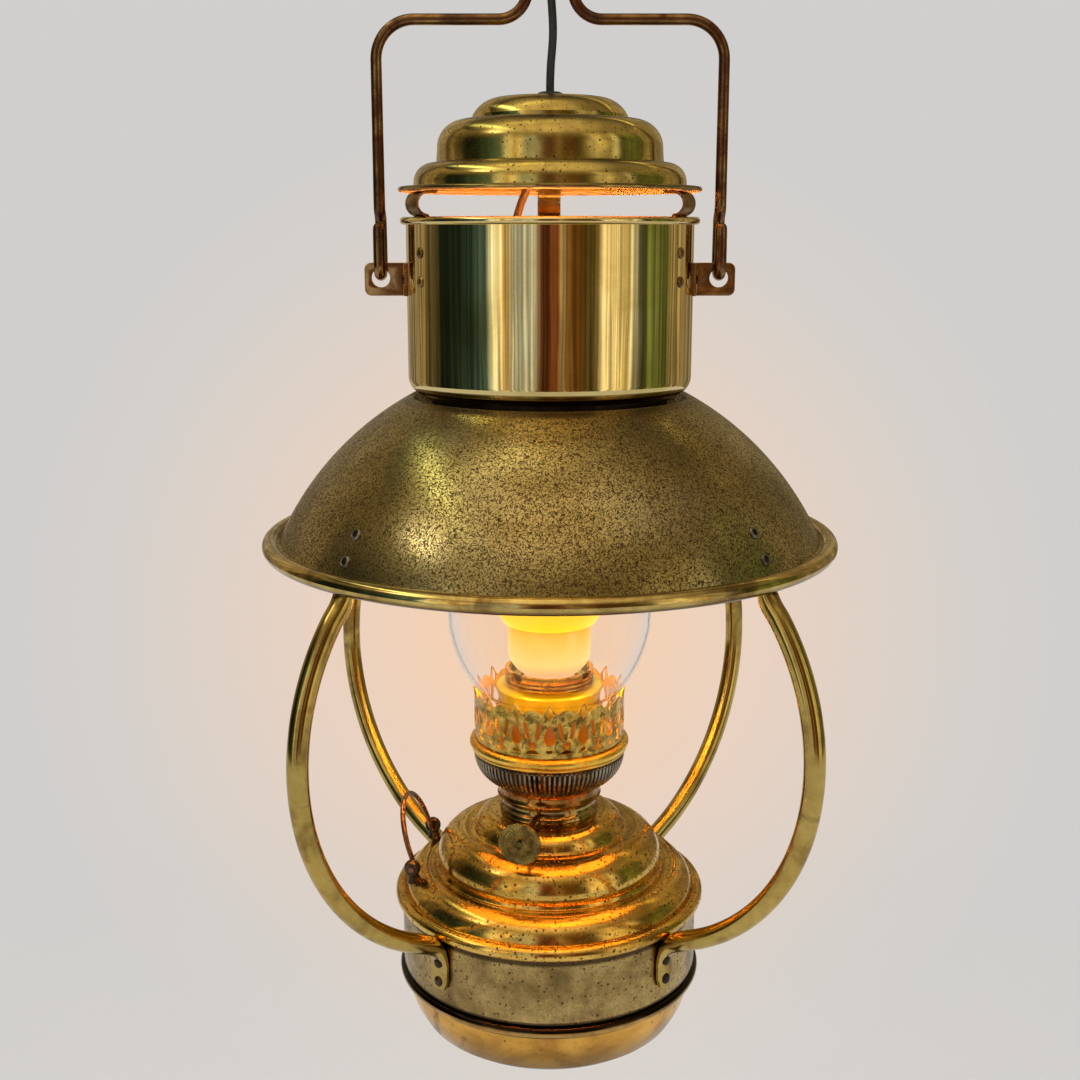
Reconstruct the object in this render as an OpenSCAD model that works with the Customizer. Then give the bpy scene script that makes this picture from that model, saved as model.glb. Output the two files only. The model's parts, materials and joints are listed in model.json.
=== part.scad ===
// Hanging ship lamp in spun brass: a wire bail, a three-step cap over a chimney hood, a wide
// shade, four bent arms, and an oil tank with its burner and glass, wired for a bulb.
// Millimetres, +Z up. The origin is the hanging point, where a hook bears inside the eye.

/* [Bail] */
// Diameter of the bail's brass rod
bail_rod_d = 5; // [4:0.5:6]
// Distance between the axes of the bail's two legs
bail_w = 155.8; // [152:1:180]
// Height of the legs, from the pivot to the axis of the top bar
bail_leg_h = 106.7; // [100:1:140]
// Bend radius at the two shoulders, to the rod's axis
shoulder_r = 17; // [10:1:24]
// Bend radius where the bar turns up into the neck
neck_bend_r = 13; // [9:0.5:16]
// Distance between the rod's axes at the neck
neck_w = 20; // [16:1:22]
// Radius of the hanging eye, to the rod's axis
eye_r = 14; // [13:0.5:17]
// Inside radius of the hooks that hold the ears
hook_in_r = 2.5; // [2.5:0.1:3]
// Height of the hook's short return leg above the pivot
hook_return_h = 16; // [14:1:24]

/* [Ears] */
// Thickness of the ear plates
ear_t = 1.6; // [1:0.1:1.8]
// Height of the ear plates
ear_h = 15; // [14:0.5:20]
// How far the ear plates stand out past the bail legs
ear_reach = 7.5; // [7:0.5:10]
// Corner radius of the ear plates
ear_corner_r = 3; // [1:0.5:4]
// Diameter of the hole that the bail hooks through
ear_hole_d = 8.6; // [8:0.2:10]
// Metal left above the hole
ear_web = 2.6; // [1.6:0.1:2.8]
// Arc length of the foot that lies on the hood
ear_foot_w = 17; // [14:1:24]
// Height of the hood's rim above the ear plate
ear_drop = 20.5; // [16:0.5:30]

/* [Hood] */
// Outer radius of the hood wall
hood_r = 65.8; // [62:0.1:68]
// Height of the hood, from its rim to its base
hood_h = 80; // [70:1:100]
// Radius of the hood's bottom corner
hood_corner_r = 8; // [3:0.5:12]
// Radius of the rolled bead at the hood's rim
hood_bead_r = 1.7; // [1.2:0.1:2.5]
// Thickness of the hood, cap and tank sheet
sheet_t = 0.8; // [0.6:0.1:1]
// Outer radius of the dark neck ring below the hood
neck_r = 55; // [50:0.5:56]
// Wall of the neck ring
neck_t = 1.5; // [1:0.1:2]

/* [Cap] */
// How far the cap's brim stands out past the hood's wall
brim_out = 3.2; // [2:0.1:5]
// Radius of the cap's rolled edge
cap_bead_r = 1.2; // [1:0.1:2]
// Height of the vent gap between hood and cap
vent_h = 10.9; // [8:0.1:14]
// Width of the brim outside the lowest step
brim_w = 7; // [5:0.2:8]
// Height of the lowest step
step1_h = 10.4; // [10:0.2:14]
// Radius at the foot of the middle step
step2_r = 51.5; // [46:0.5:53]
// Height of the middle step
step2_h = 18.6; // [16:0.2:24]
// Radius at the foot of the top step
step3_r = 35; // [30:0.5:38]
// Height of the top step
step3_h = 9.4; // [8:0.2:13]
// Width of the three straps that carry the cap
strap_w = 11.5; // [8:0.5:14]
// Thickness of the straps
strap_t = 1.2; // [0.8:0.1:1.6]
// How far the straps reach down inside the hood
strap_drop = 34; // [30:1:40]
// Radius of the rubber grommet's flange
grommet_r = 7; // [6:0.5:9]

/* [Shade] */
// Outer radius of the shade's rolled rim
shade_r = 135.6; // [130:0.2:145]
// Radius of the rim bead
shade_bead_r = 3.8; // [2.5:0.1:4]
// Radius of the shade's top edge
shade_top_r = 65; // [60:0.5:66]
// How far the shade's top edge lies below the hood's base
shade_drop = 1; // [0.6:0.1:3]
// Height from the rim bead's axis to the top edge
shade_h = 68; // [60:0.5:75]
// How far the shade's wall bows out from a straight cone
shade_bow = 7.3; // [4:0.1:9]
// Depth of the well around the neck ring
well_h = 6.5; // [3:0.5:8]
// Thickness of the shade's sheet
shade_t = 1; // [0.8:0.1:1.4]

/* [Arms] */
// Diameter of the arm tubes
arm_d = 9.4; // [6:0.2:10]
// Bend radius of the arms, to the tube's axis
arm_bend_r = 109; // [100:1:118]
// How far the arms' axis stands out past the shade's rim at their widest
arm_out = 17.2; // [14:0.2:22]
// Height of the arms' widest point below the shade's rim bead
arm_drop = 79.9; // [76:0.5:90]
// Turn of the four arms about the lamp's axis, away from 45 degrees
arm_turn = 1.4; // [-3:0.2:3]
// Width of the arms' flattened ends
tab_w = 10.5; // [8:0.5:12]
// Thickness of the arms' flattened ends
tab_t = 2.4; // [1.6:0.2:3]
// How far the arms' flattened ends reach down on the holder band
tab_low_h = 23.6; // [20:0.2:27]
// Length of the flattened end under the shade
tab_top_l = 22; // [20:1:28]

/* [Rivets] */
// Diameter of the rivet heads
rivet_d = 5; // [4:0.25:6]
// Height of the rivet heads
rivet_h = 1.2; // [0.8:0.1:1.6]
// Diameter of the rivet shanks
shank_d = 2.6; // [2:0.1:3]
// Distance between the two rivets of a pair
rivet_pitch = 12.5; // [10:0.5:14]

/* [Holder] */
// Outer radius of the holder band
band_r = 73.5; // [73:0.25:76]
// Depth of the band's top edge below the arms' widest point
band_drop = 103.7; // [98:0.1:110]
// Height of the holder band
band_h = 32; // [30:0.5:38]
// Thickness of the band and the dish
band_t = 1.2; // [1:0.1:1.6]
// Radius of the dish's flat floor
dish_floor_r = 22; // [18:1:36]
// Radius of the rolled rim of the drip dish
dish_bead_r = 2.6; // [2:0.2:3]
// Height of the recess between the band and the dish's rim
recess_h = 1.3; // [1:0.1:3]
// Depth of the drip dish below the band
dish_h = 45.4; // [38:0.2:50]

/* [Tank] */
// Radius of the bead round the tank's edge
tank_bead_r = 3.4; // [2:0.1:3.6]
// How far the bead's axis lies outside the tank's wall
tank_bead_out = 1.9; // [0.8:0.1:2.4]
// Running gap between the tank's cup and the band
tank_gap = 0.6; // [0.3:0.1:1]
// Radius at the foot of the tank's middle step
tank_step2_r = 55.3; // [53:0.1:60]
// Radius at the foot of the tank's top step
tank_step3_r = 37; // [35:0.5:40]
// Height of the tank's outer step above its bead
tank_step1_h = 12.8; // [11:0.2:15]
// Height of the tank's middle step
tank_step2_h = 20; // [17:0.5:24]
// Height of the tank's top step
tank_step3_h = 9; // [7:0.5:12]

/* [Carrying ring] */
// Diameter of the wire of the tank's ring
ring_wire_d = 2.6; // [1.6:0.1:3]
// Width of the ring, to the wire's axis
ring_w = 44.2; // [38:0.2:46]
// Height of the ring above its hinge, to the wire's axis
ring_h = 27.5; // [24:0.5:36]
// Outward lean of the ring as it stands
ring_lean = 18; // [0:1:25]
// Direction of the ring from the lamp's axis, turned back from the left side
ring_turn = 7; // [-10:0.5:15]

/* [Burner] */
// Radius of the screwed collar on the tank
collar_r = 24.8; // [23:0.2:29]
// Height of the screwed collar
collar_h = 1.6; // [1:0.2:5]
// Height of the burner's neck above the collar
burner_neck_h = 13.7; // [10:0.1:15]
// Radius of the air basket's top
basket_r = 37.5; // [35:0.5:38]
// Height of the air basket
basket_h = 17.5; // [14:0.5:20]
// Number of slots round the air basket
slot_count = 60; // [24:2:72]
// Width of each slot
slot_w = 1.3; // [1:0.1:2]
// Radius of the gallery's rolled ring
gallery_r = 39.2; // [38.5:0.1:41]
// Radius of that ring's bead
gallery_bead_r = 2.6; // [1.4:0.1:2.8]
// Outer radius of the pierced crown
crown_r = 36.6; // [36:0.1:37]
// Thickness of the pierced crown
crown_t = 0.7; // [0.5:0.1:0.9]
// Height of the pierced crown
crown_h = 24.4; // [22:0.1:27]
// Number of repeats round the crown
crown_count = 14; // [10:1:18]
// Radius of the deck inside the crown
deck_r = 24.5; // [23.5:0.25:26]
// Radius of the lamp holder's shell
holder_r = 20.5; // [19.5:0.25:21]
// Height of the lamp holder above the deck
holder_h = 6.5; // [5:0.5:16]

/* [Wick wheel] */
// Diameter of the wick wheel's shaft
wick_shaft_d = 2.6; // [2:0.1:3]
// Running clearance of the shaft in the burner's neck, on the radius
wick_gap = 0.05; // [0.02:0.01:0.1]
// Distance of the knob's face from the lamp's axis
knob_out = 57; // [52:0.5:60]
// Diameter of the knob
knob_d = 20.4; // [14:0.2:22]
// Thickness of the knob
knob_t = 1.6; // [1:0.1:3]
// Direction of the knob, turned to the left of the front
knob_turn = 14.3; // [0:0.1:30]

/* [Glass] */
// Radius of the glass at its foot
glass_foot_r = 32.6; // [32:0.1:33]
// Radius of the bulge
glass_bulge_r = 49; // [44:0.5:50]
// Radius of the upper tube
glass_tube_r = 25; // [22:0.5:28]
// Thickness of the glass
glass_t = 1.3; // [1:0.1:1.6]
// Height of the bulge's widest part above the foot
glass_bulge_h = 56.4; // [50:0.2:64]
// Height above the foot at which the shoulder runs into the upper tube
glass_shoulder_h = 123.4; // [110:0.2:130]
// Height of the glass
glass_h = 194.4; // [180:0.2:205]

/* [Bulb] */
// Radius of the glowing dome
bulb_r = 28; // [24:0.5:28.5]
// Radius of the white body where it meets the dome
bulb_neck_r = 20; // [17:0.5:21]
// Radius of the bulb's screw cap
bulb_cap_r = 13; // [10:0.5:13.5]
// Length of the bulb's screw cap
bulb_cap_h = 14; // [12:0.5:18]
// Height of the white body up to the dome's joint
bulb_body_h = 28; // [20:1:34]
// Height of the bulb above its screw cap
bulb_h = 74; // [66:1:84]

/* [Cord] */
// Diameter of the flex
flex_d = 3.7; // [3:0.1:3.9]
// Diameter of the connector at the flex's upper end
plug_d = 13; // [10:0.5:16]
// Length of that connector
plug_l = 34; // [26:1:44]

/* [Hidden] */
$fn = 96;

// Smallest gap between pieces that move past each other
gap = 0.3;
// Number of straight steps in each arc of a spun profile
arc_steps = 7;
// Overlong reach of cutting tools past what they cut
cut = 2;

// Levels, worked out downwards from the hanging point
rod_r = bail_rod_d / 2;
neck_half = neck_w / 2;
eye_rise = sqrt(pow(eye_r + neck_bend_r, 2) - pow(neck_half + neck_bend_r, 2));
eye_z = rod_r - eye_r;
neck_z = eye_z - eye_rise;
bar_z = neck_z - neck_bend_r;
pivot_z = bar_z - bail_leg_h;
hook_r = hook_in_r + rod_r;
web_low_z = pivot_z - hook_in_r + gap + 0.05;
ear_top_z = web_low_z + ear_web;
ear_hole_z = web_low_z - ear_hole_d / 2;
hood_top_z = ear_top_z + ear_drop;
hood_low_z = hood_top_z - hood_h;
cap_z = hood_top_z + vent_h;
cap_r = hood_r + brim_out;
step1_r = cap_r - brim_w;
cap_top_z = cap_z + cap_bead_r * 2 + step1_h + step2_h + step3_h;
shade_edge_z = hood_low_z - shade_drop;
shade_bead_z = shade_edge_z - shade_h;
well_z = shade_edge_z - well_h;
arm_z = shade_bead_z - arm_drop;
arm_mid_r = shade_r + arm_out - arm_bend_r;
arm_top_turn = 40;
arm_end_turn = 66;
band_top_z = arm_z - band_drop;
band_low_z = band_top_z - band_h;
dish_bead_z = band_low_z - recess_h - dish_bead_r;
dish_low_z = band_low_z - dish_h;
tank_bead_z = band_top_z + gap + tank_bead_r;
tank_r = band_r - band_t - tank_gap;
tank_low_z = band_low_z + gap;
tank_step2_z = tank_bead_z + tank_step1_h;
tank_step3_z = tank_step2_z + tank_step2_h;
tank_top_z = tank_step3_z + tank_step3_h;
collar_top_z = tank_top_z + collar_h;
basket_low_z = collar_top_z + burner_neck_h;
basket_top_z = basket_low_z + basket_h;
gallery_z = basket_top_z + gallery_bead_r;
crown_low_z = gallery_z + gallery_bead_r;
crown_top_z = crown_low_z + crown_h;
deck_z = crown_top_z - 0.5;
holder_z = deck_z + 1.2;
holder_top_z = holder_z + holder_h;
glass_low_z = crown_low_z + gap;
glass_top_z = glass_low_z + glass_h;
bulb_z = holder_top_z - 2.5;
socket_r = bulb_cap_r + 0.7 + gap;
socket_low_z = bulb_z - bulb_cap_h - 4.5;
shaft_z = collar_top_z + 2.3;
bail_x = bail_w / 2;
arm_angles = [for (i = [0:3]) 225 + arm_turn + 90 * i];
strap_angles = [90, 210, 330];

// Route of the flex from the grommet up through the bail, lying behind the eye
flex_low_z = cap_top_z + 3.2;
flex_route = [[0, 0, flex_low_z], [0, 0, flex_low_z + 4], [0.3, 0.3, -58], [0.8, 1.2, -52], [1.2, 2.5, -46],
              [1.2, 3.9, -40], [0.8, 5.1, -33], [0.3, 5.8, -26], [0, 6, -18], [0, 6, -10],
              [0, 6, -2], [0, 6, 6], [0, 6, 13], [0, 6, 19], [0, 6, 24]];
// Route of the same flex inside, from the grommet down through the glass to the lamp holder
lead_top_z = cap_top_z - 5;
lead_route = [[0, 0, lead_top_z], [0, 0, lead_top_z - 4], [-0.5, 0.3, -86], [-2, 1, -93], [-4.5, 2, -100],
              [-8, 3.2, -107], [-11.5, 4.5, -114], [-14.5, 6, -122], [-16.4, 7.5, -131],
              [-17.2, 9, -141], [-17, 10.6, -152], [-15.8, 12.4, -164], [-13.4, 14.6, -177],
              [-10.4, 16.6, -191], [-7.2, 18.2, -206], [-4.2, 19.4, -221], [-1.8, 21.4, -236],
              [-0.6, 24, -250], [0, 28.2, -263], [0, 32, -276], [0, 32.4, -290], [0, 32, -303],
              [0, 30.2, -314], [0, 27.2, -323], [0, 24.4, -331], [0, 22.8, -338],
              [0, 22.5, deck_z + 5], [0, 22.5, deck_z]];

// Points of the arc from a to b, which bows to the left of the way from a to b by rise
function arc(a, b, rise, n = arc_steps) =
    let (c = norm(b - a), h = abs(rise), r = (c * c / 4 + h * h) / (2 * h), s = sign(rise))
    let (side = s * [a.y - b.y, b.x - a.x] / c, o = (a + b) / 2 - side * (r - h))
    let (start = atan2(a.y - o.y, a.x - o.x), turn = -2 * s * asin(c / (2 * r)))
    [for (i = [0:n]) o + r * [cos(start + turn * i / n), sin(start + turn * i / n)]];

// Normal on the left of the way from a to b
function left_of(a, b) = [a.y - b.y, b.x - a.x] / norm(b - a);

// Mitred offset of one point of a line, to the left by t
function mitre(p, i, t) =
    let (n1 = left_of(p[max(i - 1, 0)], p[max(i, 1)]))
    let (n2 = left_of(p[min(i, len(p) - 2)], p[min(i + 1, len(p) - 1)]))
    p[i] + t * (n1 + n2) / (1 + n1 * n2);

// Outline of a sheet of thickness t on the left of a line of points
function sheet(p, t) = concat(p, [for (i = [len(p) - 1:-1:0]) mitre(p, i, t)]);

// Ring of round section
module bead(r, z, wire_r) {
    translate([0, 0, z])
    rotate_extrude()
    translate([r, 0])
    circle(wire_r, $fn = 32);
}

// Plain ring between two radii
module tube(outer_r, inner_r, z0, z1) {
    translate([0, 0, z0])
    difference() {
        cylinder(h = z1 - z0, r = outer_r);
        translate([0, 0, -cut])
        cylinder(h = z1 - z0 + 2 * cut, r = inner_r);
    }
}

// Part of a ring of round section in the XZ plane, from angle a0 to a1 measured from +X
module bend(x, z, r, a0, a1, wire_r) {
    translate([x, 0, z])
    rotate([90, 0, 0])
    rotate([0, 0, a0])
    rotate_extrude(angle = a1 - a0)
    translate([r, 0])
    circle(wire_r, $fn = 32);
}

// Round rod between two points
module rod(a, b, r) {
    d = b - a;
    translate(a)
    rotate([0, acos(d.z / norm(d)), atan2(d.y, d.x)])
    cylinder(h = norm(d), r = r, $fn = 32);
}

// Rivet lying along +X from the inside of what it holds to the top of its head
module rivet(grip) {
    rotate([0, 90, 0])
    rotate_extrude($fn = 32)
    polygon(concat([[0, 0], [shank_d / 2, 0], [shank_d / 2, grip], [rivet_d / 2, grip]],
                   arc([rivet_d / 2, grip + rivet_h / 3], [0, grip + rivet_h], -rivet_h / 5, 4)));
}

// Closed skin over rings of as many points each, from the first ring to the last
module loft(rings) {
    n = len(rings);
    m = len(rings[0]);
    walls = [for (i = [0:n - 2], j = [0:m - 1], half = [0, 1])
        let (k = (j + 1) % m, p = i * m)
        half == 0 ? [p + j, p + m + j, p + k] : [p + k, p + m + j, p + m + k]];
    ends = concat([for (j = [1:m - 2]) [0, j, j + 1]],
                  [for (j = [1:m - 2]) (n - 1) * m * [1, 1, 1] + [0, j + 1, j]]);
    polyhedron([for (ring = rings) each ring], concat(walls, ends));
}

// Way of a route at its point i
function way(route, i) =
    let (d = route[min(i + 1, len(route) - 1)] - route[max(i - 1, 0)])
    d / norm(d);

// Tube of flex along a route, in rings of eight points
module flex(route, r) {
    sides = 8;
    loft([for (i = [0:len(route) - 1])
        let (d = way(route, i), side = cross([0, 1, 0], d), u = side / norm(side), v = cross(d, u))
        [for (j = [0:sides - 1]) route[i] + r * (u * cos(360 * j / sides) + v * sin(360 * j / sides))]]);
}

// Points of a bend about a centre in the plane of across and up, from angle a0 to a1
function bend_points(centre, across, r, a0, a1, n) =
    [for (i = [0:n]) let (a = a0 + (a1 - a0) * i / n) centre + r * (across * cos(a) + [0, 0, 1] * sin(a))];

// Axis of the bail's right half, from the top of the eye to the end of the hook
function bail_route() =
    let (x = [1, 0, 0], y = [0, 1, 0], eye_turn = asin(eye_rise / (eye_r + neck_bend_r)), jog_turn = 60)
    let (foot = [bail_x, 0, pivot_z], jog_h = 2 * hook_r * sin(jog_turn))
    let (jog = foot + [0, 0, hook_return_h + 2])
    concat(bend_points([0, 0, eye_z], x, eye_r, 90, -eye_turn + 9, 11),
           bend_points([neck_half + neck_bend_r, 0, neck_z], x, neck_bend_r, 180 - eye_turn + 9, 270, 8),
           bend_points([bail_x - shoulder_r, 0, bar_z - shoulder_r], x, shoulder_r, 90, 0, 7),
           bend_points(jog + [0, hook_r, jog_h], y, hook_r, 180, 180 + jog_turn, 2),
           bend_points(jog, y, hook_r, jog_turn - 30, 0, 1),
           bend_points(foot, y, hook_r, 0, -180, 9),
           [foot + [0, -hook_r, hook_return_h], foot + [0, -hook_r, hook_return_h + rod_r * 0.7],
            foot + [0, -hook_r, hook_return_h + rod_r]]);

module bail() {
    sides = 14;
    half = bail_route();
    last = len(half) - 1;
    route = concat([for (i = [last:-1:1]) [-half[i].x, half[i].y, half[i].z]], half);
    function end_r(i) = let (k = min(i, 2 * last - i)) k == 0 ? rod_r * 0.3 : k == 1 ? rod_r * 0.75 : rod_r;
    color("#8a5a2c")
    loft([for (i = [0:2 * last])
        let (d = way(route, i), on_leg = abs(route[i].x) > bail_x - 0.01, out = [sign(route[i].x), 0, 0])
        let (v = on_leg ? out : cross(d, [0, 1, 0]), side = cross(v, d), u = side / norm(side))
        [for (j = [0:sides - 1])
            route[i] + end_r(i) * (u * cos(360 * j / sides) + v * sin(360 * j / sides))]]);
}

module supply_cord() {
    color("#141414")
    flex(flex_route, flex_d / 2);
}

module cord_connector() {
    foot = flex_route[len(flex_route) - 1];
    color("#1b1b1b")
    translate(foot)
    rotate_extrude()
    polygon(concat([[0, 0], [flex_d * 0.9, 0]],
                   arc([plug_d / 2 - 0.5, plug_l * 0.25], [plug_d / 2, plug_l * 0.35], 0.2, 3),
                   [[plug_d / 2, plug_l * 0.9], [plug_d / 2 - 1.2, plug_l], [0, plug_l]]));
}

// Cap profile from the axis outwards and down, so that its thickness lies inside
function cap_profile() =
    let (z1 = cap_z + 2 * cap_bead_r, z2 = z1 + step1_h, z3 = z2 + step2_h, z4 = z3 + step3_h)
    concat([[grommet_r - 2, z4]],
           arc([step3_r * 0.55, z4 - 0.6], [step3_r, z3 + step3_h * 0.25], 3.2),
           [[step3_r + 0.2, z3]],
           arc([step3_r + 1.8, z3], [step2_r - 0.6, z2 + step2_h * 0.35], 4.4),
           [[step2_r, z2 + 0.4]],
           arc([step2_r + 1.6, z2], [step1_r, z1 + step1_h * 0.15], 2.6),
           [[step1_r, z1 - sheet_t], [cap_r - cap_bead_r, z1 - sheet_t * 1.5]]);

module cap() {
    color("#b8954f")
    union() {
        rotate_extrude()
        polygon(sheet(cap_profile(), -sheet_t));
        bead(cap_r - cap_bead_r, cap_z + cap_bead_r, cap_bead_r);
    }
}

module cord_grommet() {
    waist_r = grommet_r - 2.4;
    under_z = cap_top_z - sheet_t;
    top_z = flex_route[0].z;
    low_z = lead_route[0].z;
    color("#1a1a1a")
    rotate_extrude()
    polygon(concat([[0, low_z], [grommet_r - 1.4, low_z], [grommet_r - 0.6, under_z - 0.1], [waist_r, under_z - 0.1],
                    [waist_r, cap_top_z + 0.1], [grommet_r, cap_top_z + 0.1]],
                   arc([grommet_r, cap_top_z + 1.2], [flex_d, top_z], -0.7, 4), [[0, top_z]]));
}

// Strap from inside the cap round the vent gap and down the hood's inner wall, at radius x and height y
function strap_line() =
    let (r = vent_h / 2 - strap_t / 2, mid_z = hood_top_z + vent_h / 2)
    let (in_r = hood_r - sheet_t - gap - strap_t / 2 - 0.2, tab_r = step1_r - sheet_t - strap_t / 2 - 0.9)
    let (out_r = in_r + 0.6)
    concat([[tab_r, cap_z + 6], [tab_r, mid_z + r + 0.8], [tab_r + 0.8, mid_z + r]],
           arc([out_r, mid_z + r], [out_r, mid_z - r], r * 0.999, 10),
           [[in_r, hood_top_z - 0.8], [in_r, hood_top_z - strap_drop]]);

module cap_straps() {
    line = strap_line();
    half = [for (i = [0:len(line) - 1]) mitre(line, i, -strap_t / 2)];
    color("#7d5a2c")
    for (a = strap_angles)
        rotate([0, 0, a])
        rotate([90, 0, 0])
        translate([0, 0, -strap_w / 2])
        linear_extrude(strap_w)
        polygon(sheet(half, strap_t));
}

// Places of the two rivets of each strap, below the hood's rim
strap_rivet_drops = [15.6, 15.6 + rivet_pitch];

module strap_rivets() {
    grip = strap_t + sheet_t + gap + 0.2;
    color("#8a6a35")
    for (a = strap_angles, d = strap_rivet_drops)
        rotate([0, 0, a])
        translate([hood_r - grip, 0, hood_top_z - d])
        rivet(grip);
}

module hood() {
    bead_r = hood_r + hood_bead_r - sheet_t;
    base_r = hood_r - hood_corner_r;
    color("#c9a55a")
    union() {
        rotate_extrude()
        polygon(sheet(concat([[bead_r, hood_top_z - sheet_t], [hood_r, hood_top_z - hood_bead_r]],
                             arc([hood_r, hood_low_z + hood_corner_r], [base_r, hood_low_z], 0.293 * hood_corner_r, 8),
                             [[neck_r - neck_t, hood_low_z]]), -sheet_t));
        bead(bead_r, hood_top_z - hood_bead_r, hood_bead_r);
    }
}

// Ear plate with its curved foot, standing out along +X
module ear() {
    foot_t = 1.2;
    x0 = hood_r;
    x1 = bail_x + ear_reach;
    difference() {
        union() {
            translate([x0 + foot_t / 2, -ear_t / 2, ear_top_z - ear_h])
            cube([x1 - x0 - foot_t / 2 - ear_corner_r, ear_t, ear_h]);
            translate([x1 - 2 * ear_corner_r, -ear_t / 2, ear_top_z - ear_h + ear_corner_r])
            cube([2 * ear_corner_r, ear_t, ear_h - 2 * ear_corner_r]);
            for (z = [ear_top_z - ear_corner_r, ear_top_z - ear_h + ear_corner_r])
                translate([x1 - ear_corner_r, -ear_t / 2, z])
                rotate([-90, 0, 0])
                cylinder(h = ear_t, r = ear_corner_r, $fn = 32);
            intersection() {
                tube(x0 + foot_t, x0, ear_top_z - ear_h, ear_top_z);
                translate([0, -ear_foot_w / 2, ear_top_z - ear_h])
                cube([x0 + 2 * foot_t, ear_foot_w, ear_h]);
            }
        }
        translate([bail_x, -ear_t, ear_hole_z])
        rotate([-90, 0, 0])
        cylinder(h = 2 * ear_t, d = ear_hole_d);
    }
}

module ear_left() {
    color("#8a5f2d")
    rotate([0, 0, 180])
    ear();
}

module ear_right() {
    color("#8a5f2d")
    ear();
}

module ear_rivets() {
    grip = 1.2 + sheet_t;
    spread = asin((ear_foot_w / 2 - rivet_d / 2 - 0.4) / hood_r);
    color("#6a4a26")
    for (side = [0, 180], s = [-1, 1])
        rotate([0, 0, side + s * spread])
        translate([hood_r + 1.2 - grip, 0, ear_top_z - ear_h / 2])
        rivet(grip);
}

module neck_ring() {
    flange = 4;
    color("#3b2a17")
    union() {
        tube(neck_r, neck_r - neck_t, well_z - shade_t - 1.2, hood_low_z);
        tube(neck_r + flange, neck_r - neck_t, well_z - shade_t - 1.2, well_z - shade_t);
    }
}

module inner_lead() {
    color("#181818")
    flex(lead_route, flex_d / 2);
}

// Foot of the shade's wall, on the rim bead
shade_foot = [shade_r - shade_bead_r * 2 - 0.6, shade_bead_z + shade_bead_r / 2];

// Outer line of the shade's wall, from the top edge down to the rim
function shade_line() =
    arc([shade_top_r, shade_edge_z], shade_foot, shade_bow, 16);

module shade() {
    color("#8d7a4a")
    union() {
        rotate_extrude()
        polygon(sheet(concat([[neck_r, well_z], [shade_top_r - 3.2, well_z]],
                             [[shade_top_r - 1.6, shade_edge_z - 1]],
                             shade_line(), [[shade_r - shade_bead_r, shade_bead_z]]), -shade_t));
        bead(shade_r - shade_bead_r, shade_bead_z, shade_bead_r);
    }
}

// A place on the shade's outer line, by its distance up the wall from the rim end
shade_chord = shade_foot - [shade_top_r, shade_edge_z];
shade_arc_r = (pow(norm(shade_chord), 2) / 4 + pow(shade_bow, 2)) / (2 * shade_bow);
shade_mid = ([shade_top_r, shade_edge_z] + shade_foot) / 2
          - left_of([shade_top_r, shade_edge_z], shade_foot) * (shade_arc_r - shade_bow);
shade_foot_turn = atan2(shade_foot.y - shade_mid.y, shade_foot.x - shade_mid.x);
function shade_turn(up) = shade_foot_turn + up / shade_arc_r * 180 / PI;

// Puts its child on the inside of the shade's wall: +X points out through the wall, +Z up it
module on_shade(up) {
    translate([shade_mid.x, 0, shade_mid.y])
    rotate([0, -shade_turn(up), 0])
    translate([shade_arc_r - shade_t, 0, 0])
    children();
}

// Distance of the tab's middle from the shade's rim end
tab_up = tab_top_l / 2 + 2;

// Place on the arm's axis under the shade, where its flattened end lies along the wall
function arm_under_shade(up) =
    let (a = shade_turn(up), r = shade_arc_r - shade_t - gap - tab_t / 2)
    [shade_mid.x + r * cos(a), shade_mid.y + r * sin(a)];

// Stations of an arm from the shade to the band: distance out, height, and how far it is flattened
function arm_stations() =
    let (tab_x = band_r + gap + tab_t / 2, end_a = -arm_end_turn)
    let (bend_end = [arm_mid_r + arm_bend_r * cos(end_a), arm_z + arm_bend_r * sin(end_a)])
    let (drop = bend_end.y - (band_top_z - arm_d * 1.1))
    concat([for (up = [tab_top_l + 2, tab_top_l / 2 + 2, 5]) concat(arm_under_shade(up), [1])],
           [concat(arm_under_shade(-1) + [-1.6, -0.6], [0.6])],
           [for (i = [0:16]) let (a = arm_top_turn + (end_a - arm_top_turn) * i / 16)
               [arm_mid_r + arm_bend_r * cos(a), arm_z + arm_bend_r * sin(a), 0]],
           [[tab_x + (bend_end.x - tab_x) * 0.47, bend_end.y - drop * 0.25, 0],
            [tab_x + (bend_end.x - tab_x) * 0.14, bend_end.y - drop * 0.56, 0.5],
            [tab_x, bend_end.y - drop, 1], [tab_x, band_top_z - tab_low_h, 1]]);

// One arm in the XZ plane: flattened under the shade, a bent tube, flattened on the band
module arm() {
    sides = 16;
    stations = arm_stations();
    route = [for (s = stations) [s.x, 0, s.y]];
    loft([for (i = [0:len(route) - 1])
        let (d = way(route, i), v = cross(d, [0, 1, 0]), flat = stations[i].z)
        [for (j = [0:sides - 1])
            let (a = 360 * (j + 0.5) / sides, c = cos(a), w = sin(a))
            let (round_p = [c, w] * arm_d / 2)
            let (flat_p = [sign(c) * pow(abs(c), 0.35) * tab_w / 2, sign(w) * pow(abs(w), 0.35) * tab_t / 2])
            let (q = round_p * (1 - flat) + flat_p * flat)
            route[i] + [0, q.x, 0] + v * q.y]]);
}

module arm_at(i) {
    color("#b98f3c")
    rotate([0, 0, arm_angles[i]])
    arm();
}

module arm_front_left() { arm_at(0); }
module arm_front_right() { arm_at(1); }
module arm_back_right() { arm_at(2); }
module arm_back_left() { arm_at(3); }

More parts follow.
